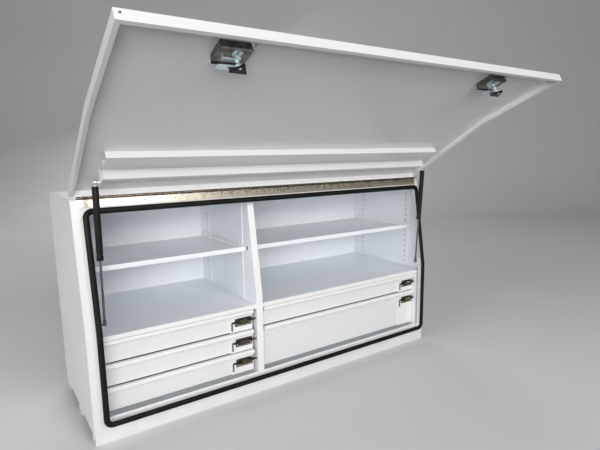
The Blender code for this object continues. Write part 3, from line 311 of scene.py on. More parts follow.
# A dark copy of the hinge's steel for the knuckles, the pin and the face rivets: painted shade along the
# knuckle row.
knuckle_shaded_steel = bare_metal("knuckle_stainless", (0.34, 0.29, 0.22), (0.03, 0.025, 0.02), 0.20, 0.40, 1.0,
                           130.0)
print("finishes:", len(bpy.data.materials))

# %% [markdown]
# ## Folded sheet
# Most of the chest is folded sheet. Its shape in the frame is already right, but every fold is knife-sharp,
# and a real press brake leaves a small radius that catches the light. A copy of each solid is merged,
# its flat faces are cleaned of triangle edges, and every fold gets a narrow rounded bevel. The copy then
# stands for the solid. The chest is white paint all over, but where a sheet should look brighter, darker or
# bluer on some faces because of how light falls there, those faces are picked by the way they point and get
# a second finish, a lighter, darker or bluer copy of the white paint: painted light and painted shade.

# %% Helpers for folded sheet
FLAT_WITHIN, FOLD_FROM, SHARP_FROM = 0.6, 28.0, 40.0
SAME_SPOT, SAME_PLANE = 2e-6, 1e-4


def merged_copy(node):
    shape = bmesh.new()
    shape.from_mesh(nodes[node].data)
    bmesh.ops.remove_doubles(shape, verts=shape.verts, dist=SAME_SPOT)
    flat = math.radians(FLAT_WITHIN)
    bmesh.ops.dissolve_limit(shape, angle_limit=flat, verts=shape.verts, edges=shape.edges)
    return shape


def is_fold(edge):
    return len(edge.link_faces) == 2 and edge.calc_face_angle() > math.radians(FOLD_FROM)


def bevel(shape, edges, width, segments):
    bmesh.ops.bevel(shape, geom=edges, offset=width, offset_type="OFFSET", segments=segments, profile=0.5,
                    affect="EDGES", clamp_overlap=True, material=-1)
    return shape


def soften(shape, width, segments=2):
    return bevel(shape, [edge for edge in shape.edges if is_fold(edge)], width, segments)


def settle(name, shape, body, finish, stands_for=()):
    mesh = bpy.data.meshes.new(name)
    shape.to_mesh(mesh)
    shape.free()
    for face in mesh.polygons:
        face.use_smooth = True
    mesh.set_sharp_from_angle(angle=math.radians(SHARP_FROM))
    mesh.materials.append(finish)
    made = bpy.data.objects.new(name, mesh)
    bpy.context.scene.collection.objects.link(made)
    made.modifiers.new("even_normals", "WEIGHTED_NORMAL").keep_sharp = True
    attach(made, body)
    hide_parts(*stands_for)
    return made


def paint_faces(piece, finish, chosen):
    piece.data.materials.append(finish)
    for face in piece.data.polygons:
        face.material_index = chosen(face)


# %% Round the folds of the carcass, the inside and the lid
FOLD, TURNED_TO, SHELF_LIP = 0.0006, 0.3, 0.003
MIDDLE = Vector((0.0, 0.0, 0.45))
WALLS = ("left_wall", "partition_left", "partition_right", "right_wall")
STANDARDS = [wall + "_standards" for wall in WALLS]
RUNNERS = [wall + "_runners" for wall in WALLS]
sheets = {
    "outer_paint": (outer_paint, ["left_side_panel", "right_side_panel", "back_panel", "top_panel",
                                  "front_frame", "left_strut_base_bracket", "right_strut_base_bracket"]),
    "rail_paint": (rail_paint, ["front_base_rail", "middle_base_rail", "rear_base_rail"]),
    "inside_lit_paint": (inside_lit_paint, ["floor_panel", "partition", "left_deck", "right_deck", "left_shelf",
                                  "right_shelf"] + STANDARDS + RUNNERS),
    "lid_paint": (lid_paint, ["lid_panel", "lid_upper_channel", "lid_lower_channel", "left_strut_lid_bracket",
                              "right_strut_lid_bracket"]),
}


def faces_inside(face):
    return face.normal.dot((MIDDLE - face.center).normalized()) > TURNED_TO


def faces_front(face):
    return face.normal.y < -TURNED_TO


def stands_upright(face):
    return abs(face.normal.z) < TURNED_TO


for slot_name, (finish, names) in sheets.items():
    for node in names:
        shape = soften(merged_copy(node), FOLD)
        made = settle(node + "_sheet", shape, home_body[node], finish, (node,))
        if node.endswith("_panel") and finish == outer_paint:
            # The inside faces of the outer panels take the bluer, lighter copy: painted light.
            paint_faces(made, inside_lit_paint, faces_inside)
        # The whole front frame takes the darker copy: painted shade.
        if node == "front_frame":
            paint_faces(made, frame_shaded_paint, lambda face: True)
        # Front faces of the partition, the decks and the floor take the lighter lip copy: painted light where
        # they face the lamps.
        if node in ("partition", "left_deck", "right_deck", "floor_panel"):
            paint_faces(made, lip_highlight_paint, faces_front)
        if node.endswith("_shelf"):
            # The shelves' upright lips behind the front take the brightest copy: painted highlight.
            behind_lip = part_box(node)[0].y + SHELF_LIP
            paint_faces(made, band_highlight_paint, lambda face: stands_upright(face) and face.center.y > behind_lip)
print("folded sheet pieces:", sum(len(names) for finish, names in sheets.values()))

# %% [markdown]
# ## Drawer fronts
# Each drawer's top edge is rolled forward into a fat round lip, the bright band in the photograph. The
# solid has it square. The two long edges on the lip's front plane are found by where they lie and get a
# wide bevel of several steps, which turns the square band into a roll. Then the other folds are softened.

# %% Roll the lips
LIP_ROUND, LIP_DEEP, LIP_LONG = 0.0048, 0.019, 0.3
LIP_PAINTED = LIP_DEEP - 0.004
DRAWERS = ["left_top_drawer", "left_middle_drawer", "left_bottom_drawer", "right_shallow_drawer",
           "right_deep_drawer"]
for node in DRAWERS:
    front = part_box(node)[0].y
    shape = merged_copy(node)
    lip_edges = [edge for edge in shape.edges if is_fold(edge) and edge.calc_length() > LIP_LONG
                 and all(abs(vert.co.y - front) < SAME_PLANE for vert in edge.verts)]
    bevel(shape, lip_edges, LIP_ROUND, 5)
    print(node, "lip edges rolled:", len(lip_edges))
    soften(shape, FOLD)
    made = settle(node + "_sheet", shape, home_body[node], drawer_shaded_paint, (node,))
    # The rolled lip gets the lighter copy and the face below it the darker one: painted highlight and painted
    # shade.
    paint_faces(made, lip_highlight_paint, lambda face: face.center.y < front + LIP_PAINTED)

# %% [markdown]
# ## The creased front, flat and folded
# The seal, the hinge and the locks all follow the creased front. They are easiest to draw on a flat upright
# front, where y is minus the distance out of the face. One function then bends a shape onto the crease,
# and one matrix carries what belongs to the lid from shut to open about the hinge.

# %% Bend and open
FRONT_Y, BEND_HEIGHT, CHEST_HEIGHT, SET_BACK = -0.280, 0.425, 0.870, 0.066
ON_CREASE = 1e-6
LEAN = math.atan2(SET_BACK, CHEST_HEIGHT - BEND_HEIGHT)
FACE_TOP = BEND_HEIGHT + (CHEST_HEIGHT - BEND_HEIGHT) / math.cos(LEAN)
HINGE_AT = Vector(joints["lid_hinge"]["pos_m"])
OPENED = math.radians(joints["lid_hinge"]["range_deg"][0])
to_open = Matrix.Translation(HINGE_AT) @ Matrix.Rotation(OPENED, 4, "X") @ Matrix.Translation(-HINGE_AT)


def bend(shape):
    for vert in shape.verts:
        out, along = -vert.co.y, vert.co.z
        if along < BEND_HEIGHT - ON_CREASE:
            vert.co = (vert.co.x, FRONT_Y - out, along)
        elif along < BEND_HEIGHT + ON_CREASE:
            vert.co = (vert.co.x, FRONT_Y - out, BEND_HEIGHT + out * math.tan(LEAN / 2))
        else:
            up = along - BEND_HEIGHT
            vert.co = (vert.co.x, FRONT_Y + up * math.sin(LEAN) - out * math.cos(LEAN),
                       BEND_HEIGHT + up * math.cos(LEAN) + out * math.sin(LEAN))
    return shape


def moved(shape, matrix):
    shape.transform(matrix)
    return shape


def on_lid(shape):
    return moved(bend(shape), to_open)


print("hinge at %.4f, %.4f, %.4f," % tuple(HINGE_AT), "open by %.1f degrees" % -math.degrees(OPENED))

# %% [markdown]
# ## The seal
# A pinch-on seal is one extrusion pushed over the upstand: a slotted grip with a bulb in front. It could
# be a curve with a bevel profile, but the slot has to stay square to the face round each corner. So one loop
# of edges runs round the opening and is extruded from point to point of the section, back to its start.

# %% The seal's section
OPENING_HALF, SILL, HEADER, CORNER = 0.809, 0.081, 0.042, 0.022
OPENING_TOP = FACE_TOP - HEADER
GRIP, CROWN, SEAL_HALF, SEAL_WAIST = 0.026, 0.0375, 0.0105, 0.0295
UPSTAND, UPSTAND_PLAY, SLOT_HALF = 0.030, 0.0004, 0.0011
CORNER_STEPS, BULB_STEPS = 10, 12
foot = [(SLOT_HALF, GRIP), (0.0070, GRIP), (0.0092, GRIP + 0.0006), (0.0104, GRIP + 0.0022)]
section = list(foot)
for step in range(BULB_STEPS + 1):
    angle = math.pi * step / BULB_STEPS
    section.append((SEAL_HALF * math.cos(angle), SEAL_WAIST + (CROWN - SEAL_WAIST) * math.sin(angle)))
section += [(-spread, out) for spread, out in reversed(foot)]
seal_skin = list(section)
section += [(-SLOT_HALF, UPSTAND + UPSTAND_PLAY), (SLOT_HALF, UPSTAND + UPSTAND_PLAY)]
print("seal section:", len(section), "points")


def opening_loop(spread, out):
    half, low, high, radius = OPENING_HALF + spread, SILL - spread, OPENING_TOP + spread, CORNER + spread
    points = []
    corners = ((half, low, -1, 1, -90), (half, high, -1, -1, 0), (-half, high, 1, -1, 90),
               (-half, low, 1, 1, 180))
    for number, (x, z, step_x, step_z, start) in enumerate(corners):
        for step in range(CORNER_STEPS + 1):
            angle = math.radians(start + 90.0 * step / CORNER_STEPS)
            points.append(Vector((x + step_x * radius + radius * math.cos(angle), -out,
                                  z + step_z * radius + radius * math.sin(angle))))
        if number in (0, 2):
            points.append(Vector((x, -out, BEND_HEIGHT)))
    return points


# %% Sweep the seal
seal = bmesh.new()
corners = [seal.verts.new(point) for point in opening_loop(*section[0])]
edges = [seal.edges.new((corners[i], corners[(i + 1) % len(corners)])) for i in range(len(corners))]
for here, there in zip(section, section[1:] + section[:1]):
    start_points, end_points = opening_loop(*here), opening_loop(*there)
    grown = bmesh.ops.extrude_edge_only(seal, edges=edges)["geom"]
    edges = [item for item in grown if isinstance(item, bmesh.types.BMEdge)]
    for vert in [item for item in grown if isinstance(item, bmesh.types.BMVert)]:
        nearest = min(range(len(start_points)), key=lambda i: (start_points[i] - vert.co).length_squared)
        vert.co = end_points[nearest]
bmesh.ops.remove_doubles(seal, verts=seal.verts, dist=1e-6)
bmesh.ops.recalc_face_normals(seal, faces=seal.faces)
print("seal:", len(seal.faces), "faces")
settle("door_seal_bulb", bend(seal), "carcass", seal_rubber, ("door_seal",))

# %% [markdown]
# ## Small turned and stamped parts
# Rivets, nuts, pins and tubes are all turned shapes. A half outline is drawn as a chain of edges and spun
# round Z, then a matrix stands the part where it belongs. Boxes with softened edges do for stamped bits.

# %% Helpers for turned parts
def turned(outline, steps=24):
    shape = bmesh.new()
    verts = [shape.verts.new((radius, 0.0, height)) for radius, height in outline]
    chain = [shape.edges.new(pair) for pair in zip(verts, verts[1:])]
    bmesh.ops.spin(shape, geom=verts + chain, cent=(0.0, 0.0, 0.0), axis=(0.0, 0.0, 1.0), angle=math.tau,
                   steps=steps, use_merge=True)
    bmesh.ops.remove_doubles(shape, verts=shape.verts, dist=1e-6)
    bmesh.ops.recalc_face_normals(shape, faces=shape.faces)
    return shape


def pin(radius, low, high, edge=0.0005, steps=18):
    return turned([(0.0, low), (radius - edge, low), (radius, low + edge), (radius, high - edge),
                   (radius - edge, high), (0.0, high)], steps)


def tube(bore, radius, low, high, edge=0.0004, steps=22):
    return turned([(bore, low), (radius - edge, low), (radius, low + edge), (radius, high - edge),
                   (radius - edge, high), (bore, high), (bore, low)], steps)


def dome(radius, height):
    angles = [math.radians(angle) for angle in (0, 18, 36, 54, 72)]
    arc = [(radius * math.cos(angle), height * math.sin(angle)) for angle in angles]
    return turned([(0.0, -0.0002), (radius, -0.0002)] + arc + [(0.0, height)], 16)


def ball(radius):
    shape = bmesh.new()
    bmesh.ops.create_uvsphere(shape, u_segments=18, v_segments=12, radius=radius)
    return shape


# %% Helpers for stamped parts
def block(x0, x1, y0, y1, z0, z1, edge=0.0004, segments=2):
    shape = bmesh.new()
    size = Matrix.Diagonal((x1 - x0, y1 - y0, z1 - z0, 1.0))
    middle = Matrix.Translation(((x0 + x1) / 2, (y0 + y1) / 2, (z0 + z1) / 2))
    bmesh.ops.create_cube(shape, size=1.0, matrix=middle @ size)
    return soften(shape, edge, segments)


def pulled(outline, offset):
    shape = bmesh.new()
    face = shape.faces.new([shape.verts.new(point) for point in outline])
    grown = bmesh.ops.extrude_face_region(shape, geom=[face])["geom"]
    far_end = [item for item in grown if isinstance(item, bmesh.types.BMVert)]
    bmesh.ops.translate(shape, verts=far_end, vec=offset)
    bmesh.ops.recalc_face_normals(shape, faces=shape.faces)
    return shape


def hex_nut(across, height):
    shape = bmesh.new()
    bmesh.ops.create_cone(shape, cap_ends=True, segments=6, radius1=across, radius2=across, depth=height,
                          matrix=Matrix.Translation((0.0, 0.0, height / 2)))
    return soften(shape, 0.0006, 2)


def facing(place, direction):
    return Matrix.Translation(place) @ Vector(direction).to_track_quat("Z", "Y").to_matrix().to_4x4()


def gathered(shapes):
    whole = bmesh.new()
    for shape in shapes:
        spare = bpy.data.meshes.new("spare")
        shape.to_mesh(spare)
        shape.free()
        whole.from_mesh(spare)
        bpy.data.meshes.remove(spare)
    return whole


SIDEWAYS = (1.0, 0.0, 0.0)
INWARD = (0.0, 1.0, 0.0)
OUTWARD = (0.0, -1.0, 0.0)
UPWARD = (0.0, 0.0, 1.0)
DOWNWARD = (0.0, 0.0, -1.0)
HAIR_EDGE, FINE_EDGE = 0.0001, 0.0002

# %% [markdown]
# ## The piano hinge
# The hinge runs along the whole top edge. Its knuckles belong in turn to the cabinet and to the lid, so they
# ride on two bodies. Each leaf is a plate with a short neck to every second knuckle. The leaf on the lid
# was painted with it, so only its knuckles are bare. The knuckles are tubes with softened ends.

# %% Measures of the hinge
HINGE_HALF, KNUCKLES, KNUCKLE_PLAY = 0.829, 32, 0.0008
HINGE_OUT, HINGE_V = 0.004, FACE_TOP + 0.006
KNUCKLE_R, BORE_R, PIN_R = 0.0055, 0.0029, 0.0025
LEAF, LEAF_GAP, LEAF_DEEP, LEAF_FAR = 0.0015, 0.0003, 0.026, 0.0345
NECK_ROOT, NECK_PLAY = 0.001, 0.0005
LEAF_FACE = -LEAF_GAP - LEAF
LEAF_TOP = HINGE_V + KNUCKLE_R - NECK_PLAY
pitch = 2 * HINGE_HALF / KNUCKLES


def knuckle_tubes(first):
    starts = [-HINGE_HALF + pitch * number + KNUCKLE_PLAY / 2 for number in range(first, KNUCKLES, 2)]
    line = facing((0.0, -HINGE_OUT, HINGE_V), SIDEWAYS)
    return [moved(tube(BORE_R, KNUCKLE_R, x, x + pitch - KNUCKLE_PLAY, steps=20), line) for x in starts]


def necks(first, y0, y1, z0, z1):
    starts = [-HINGE_HALF + pitch * number + KNUCKLE_PLAY for number in range(first, KNUCKLES, 2)]
    return [block(x, x + pitch - 2 * KNUCKLE_PLAY, y0, y1, z0, z1, FINE_EDGE, 1) for x in starts]


print("knuckle pitch: %.1f mm" % (pitch * 1000.0))

# %% Build the hinge
notch = HINGE_V - KNUCKLE_R - KNUCKLE_PLAY
leaf = [block(-HINGE_HALF, HINGE_HALF, LEAF_FACE, -LEAF_GAP, FACE_TOP - LEAF_DEEP, notch)]
leaf += necks(1, LEAF_FACE, -LEAF_GAP, notch - NECK_ROOT, HINGE_V - BORE_R - NECK_PLAY)
settle("hinge_cabinet_plate", bend(gathered(leaf)), "carcass", hinge_steel, ("hinge_cabinet_leaf",))
settle("hinge_cabinet_knuckles", bend(gathered(knuckle_tubes(1))), "carcass", knuckle_shaded_steel,
       ("hinge_cabinet_leaf",))
notch = HINGE_OUT + KNUCKLE_R + KNUCKLE_PLAY
leaf = [block(-HINGE_HALF, HINGE_HALF, -LEAF_FAR, -notch, LEAF_TOP - LEAF, LEAF_TOP)]
leaf += necks(0, -notch - NECK_ROOT, -HINGE_OUT - BORE_R, LEAF_TOP - LEAF, LEAF_TOP)
# The lid's leaf is white paint, drawn in the brightest copy: painted highlight.
settle("hinge_lid_plate", on_lid(gathered(leaf)), "lid", band_highlight_paint, ("hinge_lid_leaf",))
settle("hinge_lid_knuckles", on_lid(gathered(knuckle_tubes(0))), "lid", knuckle_shaded_steel, ("hinge_lid_leaf",))
pin_end = HINGE_HALF - KNUCKLE_PLAY
settle("hinge_pin_steel", moved(pin(PIN_R, -pin_end, pin_end), facing(HINGE_AT, SIDEWAYS)), "carcass",
       knuckle_shaded_steel, ("hinge_pin",))

# %% Rivet the hinge
RIVET_FROM, RIVET_PITCH, RIVETS = -0.718, 0.118, 13
FACE_RIVET, FACE_RIVET_DROP = (0.0028, 0.0012), 0.012
LID_RIVET, LID_RIVET_OUT = (0.0036, 0.0014), 0.024
rivet_xs = [RIVET_FROM + RIVET_PITCH * number for number in range(RIVETS)]
face_rivets = [moved(dome(*FACE_RIVET), facing((x, LEAF_FACE, FACE_TOP - FACE_RIVET_DROP), OUTWARD))
               for x in rivet_xs]
settle("hinge_face_rivets", bend(gathered(face_rivets)), "carcass", knuckle_shaded_steel)
lid_rivets = [moved(dome(*LID_RIVET), facing((x, -LID_RIVET_OUT, LEAF_TOP - LEAF), DOWNWARD))
              for x in rivet_xs]
settle("hinge_lid_rivets", on_lid(gathered(lid_rivets)), "lid", band_highlight_paint)
print("hinge:", KNUCKLES, "knuckles,", 2 * RIVETS, "rivets")

# %% [markdown]
# ## Gas struts
# The joints say where each strut hangs and which way its rod runs, so no place has to be copied. The black
# tube, its end collar, the bright eye on the lid's stud and the dark rod are spun round the strut's own line.
# The rod ends in a ball joint on the frame's bracket.

# %% Build the struts
TUBE_R, COLLAR_R, NECK_R, MOUTH_R, MOUTH_DEEP = 0.011, 0.0115, 0.0101, 0.0048, 0.003
TUBE_START, TUBE_END, NECK_LOW, NECK_HIGH = 0.013, 0.263, 0.242, 0.246
EYE_R, EYE_HALF, EYE_BORE, SHANK_R, SHANK_FROM, SHANK_SUNK = 0.0085, 0.004, 0.0034, 0.0042, 0.006, 0.0004
ROD_R, ROD_HIDDEN, ROD_SHORT, BALL_R = 0.004, 0.020, 0.014, 0.0072
SOCKET_R, SOCKET_FROM, SOCKET_TO, POST_R, POST_LONG = 0.0056, 0.0165, 0.004, 0.003, 0.0124
STUD_NUT, STUD_NUT_OFF, ROUNDED = (0.0066, 0.0060), 0.0150, 0.001
tube_outline = [(0.0, TUBE_START), (0.0068, TUBE_START), (0.0095, TUBE_START + 0.0014),
                (TUBE_R, TUBE_START + 0.004), (TUBE_R, NECK_LOW - 0.001), (NECK_R, NECK_LOW),
                (NECK_R, NECK_HIGH), (COLLAR_R, NECK_HIGH + 0.002), (COLLAR_R, TUBE_END - 0.002),
                (COLLAR_R - 0.0015, TUBE_END), (MOUTH_R, TUBE_END), (MOUTH_R, TUBE_END - MOUTH_DEEP),
                (0.0, TUBE_END - MOUTH_DEEP)]
for word, side in (("left", -1.0), ("right", 1.0)):
    stud = Vector(joints[word + "_strut_swing"]["pos_m"])
    down = -Vector(joints[word + "_strut_slide"]["axis"]).normalized()
    line = facing(stud, down)
    rod_node, tube_node = word + "_strut_rod", word + "_strut_cylinder"
    foot_at = max((vert.co - stud).dot(down) for vert in nodes[rod_node].data.vertices) - BALL_R
    body_tube = moved(turned(tube_outline, 28), line)
    settle(word + "_strut_tube", body_tube, tube_node, black_enamel_and_shade, (tube_node,))
    eye = moved(tube(EYE_BORE, EYE_R, -EYE_HALF, EYE_HALF, ROUNDED), facing(stud, SIDEWAYS))
    shank = moved(pin(SHANK_R, SHANK_FROM, TUBE_START + SHANK_SUNK), line)
    settle(word + "_strut_eye", gathered([eye, shank]), tube_node, zinc_plate, (tube_node,))
    rod = moved(pin(ROD_R, TUBE_END - ROD_HIDDEN, foot_at - ROD_SHORT), line)
    settle(word + "_strut_rod_steel", rod, rod_node, rod_steel, (rod_node,))
    socket = moved(pin(SOCKET_R, foot_at - SOCKET_FROM, foot_at - SOCKET_TO, ROUNDED), line)
    foot_place = stud + down * foot_at
    post = moved(pin(POST_R, 0.0, POST_LONG), facing(foot_place, (side, 0.0, 0.0)))
    joint_ball = moved(ball(BALL_R), Matrix.Translation(foot_place))
    foot_joint = gathered([socket, post, joint_ball])
    settle(word + "_strut_foot", foot_joint, rod_node, rod_steel, (rod_node,))
    nut_place = (stud.x - side * STUD_NUT_OFF, stud.y, stud.z)
    nut = moved(hex_nut(*STUD_NUT), facing(nut_place, (side, 0.0, 0.0)))
    settle(word + "_strut_nut", nut, "lid", zinc_plate)
    print(word, "strut: foot %.4f m from its stud" % foot_at)

# %% [markdown]
# ## The locks
# Each lock is a stainless pan let into the lid, so its back stands out inside. The copy of the pan is turned
# back to the shut lid, where its edges are square to the axes and easy to pick, rounded, and turned open
# again. A zinc spindle carries a long cam plate, and a black three-sided wedge, pulled out of a triangle, is
# screwed under it. A slotted disc, a bracket and two fixings stay with the lid.

# %% Round the pans and the handles
LOCK_Z, PAN_FLOOR, PAN_ROUND, PAN_FOLD, PAN_LONG = 0.140, -0.018, 0.004, 0.0003, 0.012
HANDLE_ROUND = 0.0012
locks = {"left": -0.540, "right": 0.520}
for word in locks:
    pan = moved(merged_copy(word + "_lock_pan"), to_open.inverted())
    deep = max(vert.co.y for vert in pan.verts)
    pan_edges = [edge for edge in pan.edges if is_fold(edge) and edge.calc_length() > PAN_LONG
                 and any(abs(vert.co.y - deep) < SAME_PLANE for vert in edge.verts)]
    bevel(pan, pan_edges, PAN_ROUND, 4)
    print(word, "pan: rounded", len(pan_edges), "edges")
    moved(soften(pan, PAN_FOLD), to_open)
    # Darkened stainless: painted dark reflection.
    settle(word + "_lock_pan_steel", pan, "lid", pan_dark_reflection_steel, (word + "_lock_pan",))
    handle = word + "_lock_handle"
    grip = soften(merged_copy(handle), HANDLE_ROUND, 3)
    settle(handle + "_steel", grip, home_body[handle], pan_dark_reflection_steel, (handle,))

# %% Spindles, cams and wedges
CAM_BACK, CAM_FRONT, CAM_REACH, CAM_TAIL, CAM_HALF, CAM_EDGE = 0.009, 0.013, 0.062, 0.010, 0.009, 0.0006
SPINDLE_R, SPINDLE_FROM, SPINDLE_SUNK, HUB_R, HUB_TO = 0.006, -0.0275, 0.0005, 0.0095, -0.0195
CAM_NUT_ACROSS, CAM_NUT_HIGH = 0.0105, 0.007
WEDGE_CORNERS = ((0.0024, -0.0276), (-0.0278, 0.0064), (0.0231, 0.0090))
WEDGE_FROM, WEDGE_DEEP, WEDGE_ROUND = 0.0136, 0.008, 0.0014
SCREW, SCREW_ACROSS, SCREW_DROP = (0.0038, 0.0016), 0.0056, 0.0133
for word, x in locks.items():
    body = home_body[word + "_lock_cam"]
    plate = block(x - CAM_REACH, x + CAM_TAIL, CAM_BACK, CAM_FRONT, LOCK_Z - CAM_HALF, LOCK_Z + CAM_HALF,
                  CAM_EDGE)
    spindle_line = facing((x, 0.0, LOCK_Z), INWARD)
    spindle = moved(pin(SPINDLE_R, SPINDLE_FROM, CAM_BACK + SPINDLE_SUNK), spindle_line)
    hub = moved(pin(HUB_R, SPINDLE_FROM, HUB_TO), spindle_line)
    nut_place = facing((x, CAM_BACK - CAM_NUT_HIGH, LOCK_Z), INWARD)
    cam_nut = moved(hex_nut(CAM_NUT_ACROSS, CAM_NUT_HIGH), nut_place)
    settle(word + "_lock_cam_zinc", on_lid(gathered([plate, spindle, hub, cam_nut])), body, zinc_plate,
           (word + "_lock_cam",))
    triangle = [(x + across, WEDGE_FROM, LOCK_Z + up) for across, up in WEDGE_CORNERS]
    wedge = soften(pulled(triangle, (0.0, WEDGE_DEEP, 0.0)), WEDGE_ROUND, 3)
    settle(word + "_lock_wedge", on_lid(wedge), body, black_enamel_and_shade)
    screw_place = (x - SCREW_ACROSS, WEDGE_FROM + WEDGE_DEEP, LOCK_Z - SCREW_DROP)
    screw = moved(dome(*SCREW), facing(screw_place, INWARD))
    settle(word + "_lock_screw", on_lid(screw), body, zinc_plate)

# %% Discs, brackets and fixings round the locks
LID_SKIN = -0.0385
RING_BORE, RING_R, RING_LOW, RING_HIGH = 0.0066, 0.0110, 0.0016, 0.0030
RING_NUT_R, RING_NUT_TOP, RING_NUT_EDGE = 0.0085, 0.0085, 0.0008
DISC_R, DISC_THICK, DISC_ACROSS, DISC_DROP = 0.0140, 0.0014, 0.0065, 0.0175
GROOVE_HALF, GROOVE_LOW, GROOVE_HIGH, GROOVE_SUNK, GROOVE_PROUD = 0.0013, 0.0110, 0.0055, 0.0002, 0.0003
BRACKET_FAR, BRACKET_NEAR, BRACKET_LOW, BRACKET_HIGH, BRACKET_SHEET = 0.050, 0.010, 0.024, 0.008, 0.0015
BRACKET_FACE, BRACKET_LEG_TOP = 0.0010, 0.0002
FIXINGS = ((-0.0464, 0.0496), (0.0473, -0.0307))
FIXING_NUT, FIXING_STUD = (0.0056, 0.005), (0.003, 0.0, 0.009)
for word, x in locks.items():
    floor_spot = facing((x, PAN_FLOOR, LOCK_Z), INWARD)
    fixed = [moved(tube(RING_BORE, RING_R, RING_LOW, RING_HIGH), floor_spot)]
    fixed += [moved(tube(RING_BORE, RING_NUT_R, RING_HIGH, RING_NUT_TOP, RING_NUT_EDGE, 6), floor_spot)]
    disc_x, disc_z, disc_top = x - DISC_ACROSS, LOCK_Z - DISC_DROP, PAN_FLOOR + DISC_THICK
    fixed += [moved(pin(DISC_R, 0.0, DISC_THICK), facing((disc_x, PAN_FLOOR, disc_z), INWARD))]
    far, low, high = x - BRACKET_FAR, LOCK_Z - BRACKET_LOW, LOCK_Z - BRACKET_HIGH
    fixed += [block(far, x - BRACKET_NEAR, BRACKET_FACE - BRACKET_SHEET, BRACKET_FACE, low, high)]
    fixed += [block(far, far + BRACKET_SHEET, PAN_FLOOR, BRACKET_LEG_TOP, low, high)]
    for across, up in FIXINGS:
        base = facing((x + across, LID_SKIN, LOCK_Z + up), INWARD)
        fixed += [moved(hex_nut(*FIXING_NUT), base), moved(pin(*FIXING_STUD), base)]
    settle(word + "_lock_fixings", on_lid(gathered(fixed)), "lid", zinc_plate)
    # The disc's slot is a thin black bar: painted shade in the slot.
    groove = block(disc_x - GROOVE_HALF, disc_x + GROOVE_HALF, disc_top - GROOVE_SUNK,
                   disc_top + GROOVE_PROUD, disc_z - GROOVE_LOW, disc_z + GROOVE_HIGH, HAIR_EDGE, 1)
    settle(word + "_lock_slot", on_lid(groove), "lid", black_enamel_and_shade)
print("locks:", len(locks))

# %% [markdown]
# ## The drawer latches
# Every drawer has a sprung barrel bolt at its right end: a thin plate with two bent straps, a bolt that
# slides through them with a coil spring round it, and an L-shaped tail at its left end. The straps and the
# spring belong to the drawer, and the bolt rides on its own slide. The spring is a small ring that is spun
# and moved along at the same time, as a screw thread is. The plate, the straps and the bolt take a near-black
# copy of the steel, painted shade. A bright strip along the plate's foot, the screw heads and the spring take
# a bright copy, a painted highlight.

# %% Helpers for the latches
BOLT_R, BORE, STRAP, STRAP_EDGE = 0.004, 0.0045, 0.0015, 0.0003


def bent_strap(x0, x1, axis_y, back_y, z):
    """A half tube over the bolt, drawn as one outline and pulled along X."""
    wall, steps = BORE + STRAP, 8
    turns = [math.pi * step / steps for step in range(steps + 1)]
    outer = [(x0, axis_y - wall * math.sin(a), z - wall * math.cos(a)) for a in turns]
    inner = [(x0, axis_y - BORE * math.sin(a), z - BORE * math.cos(a)) for a in reversed(turns)]
    outline = [(x0, back_y, z - wall)] + outer + [(x0, back_y, z + wall), (x0, back_y, z + BORE)]
    outline += inner + [(x0, back_y, z - BORE)]
    return soften(pulled(outline, (x1 - x0, 0.0, 0.0)), STRAP_EDGE, 1)


def coil(radius, wire, length, turns):
    shape = bmesh.new()
    tilt = Matrix.Translation((radius, 0.0, 0.0)) @ Matrix.Rotation(math.radians(90.0), 4, "X")
    ring = bmesh.ops.create_circle(shape, cap_ends=False, segments=6, radius=wire, matrix=tilt)["verts"]
    steps = 12 * turns
    bmesh.ops.spin(shape, geom=ring + shape.edges[:], cent=(0.0, 0.0, 0.0), axis=(0.0, 0.0, 1.0),
                   dvec=(0.0, 0.0, length / steps), angle=math.tau * turns, steps=steps, use_merge=False)
    bmesh.ops.holes_fill(shape, edges=[edge for edge in shape.edges if edge.is_boundary], sides=8)
    bmesh.ops.recalc_face_normals(shape, faces=shape.faces)
    return shape


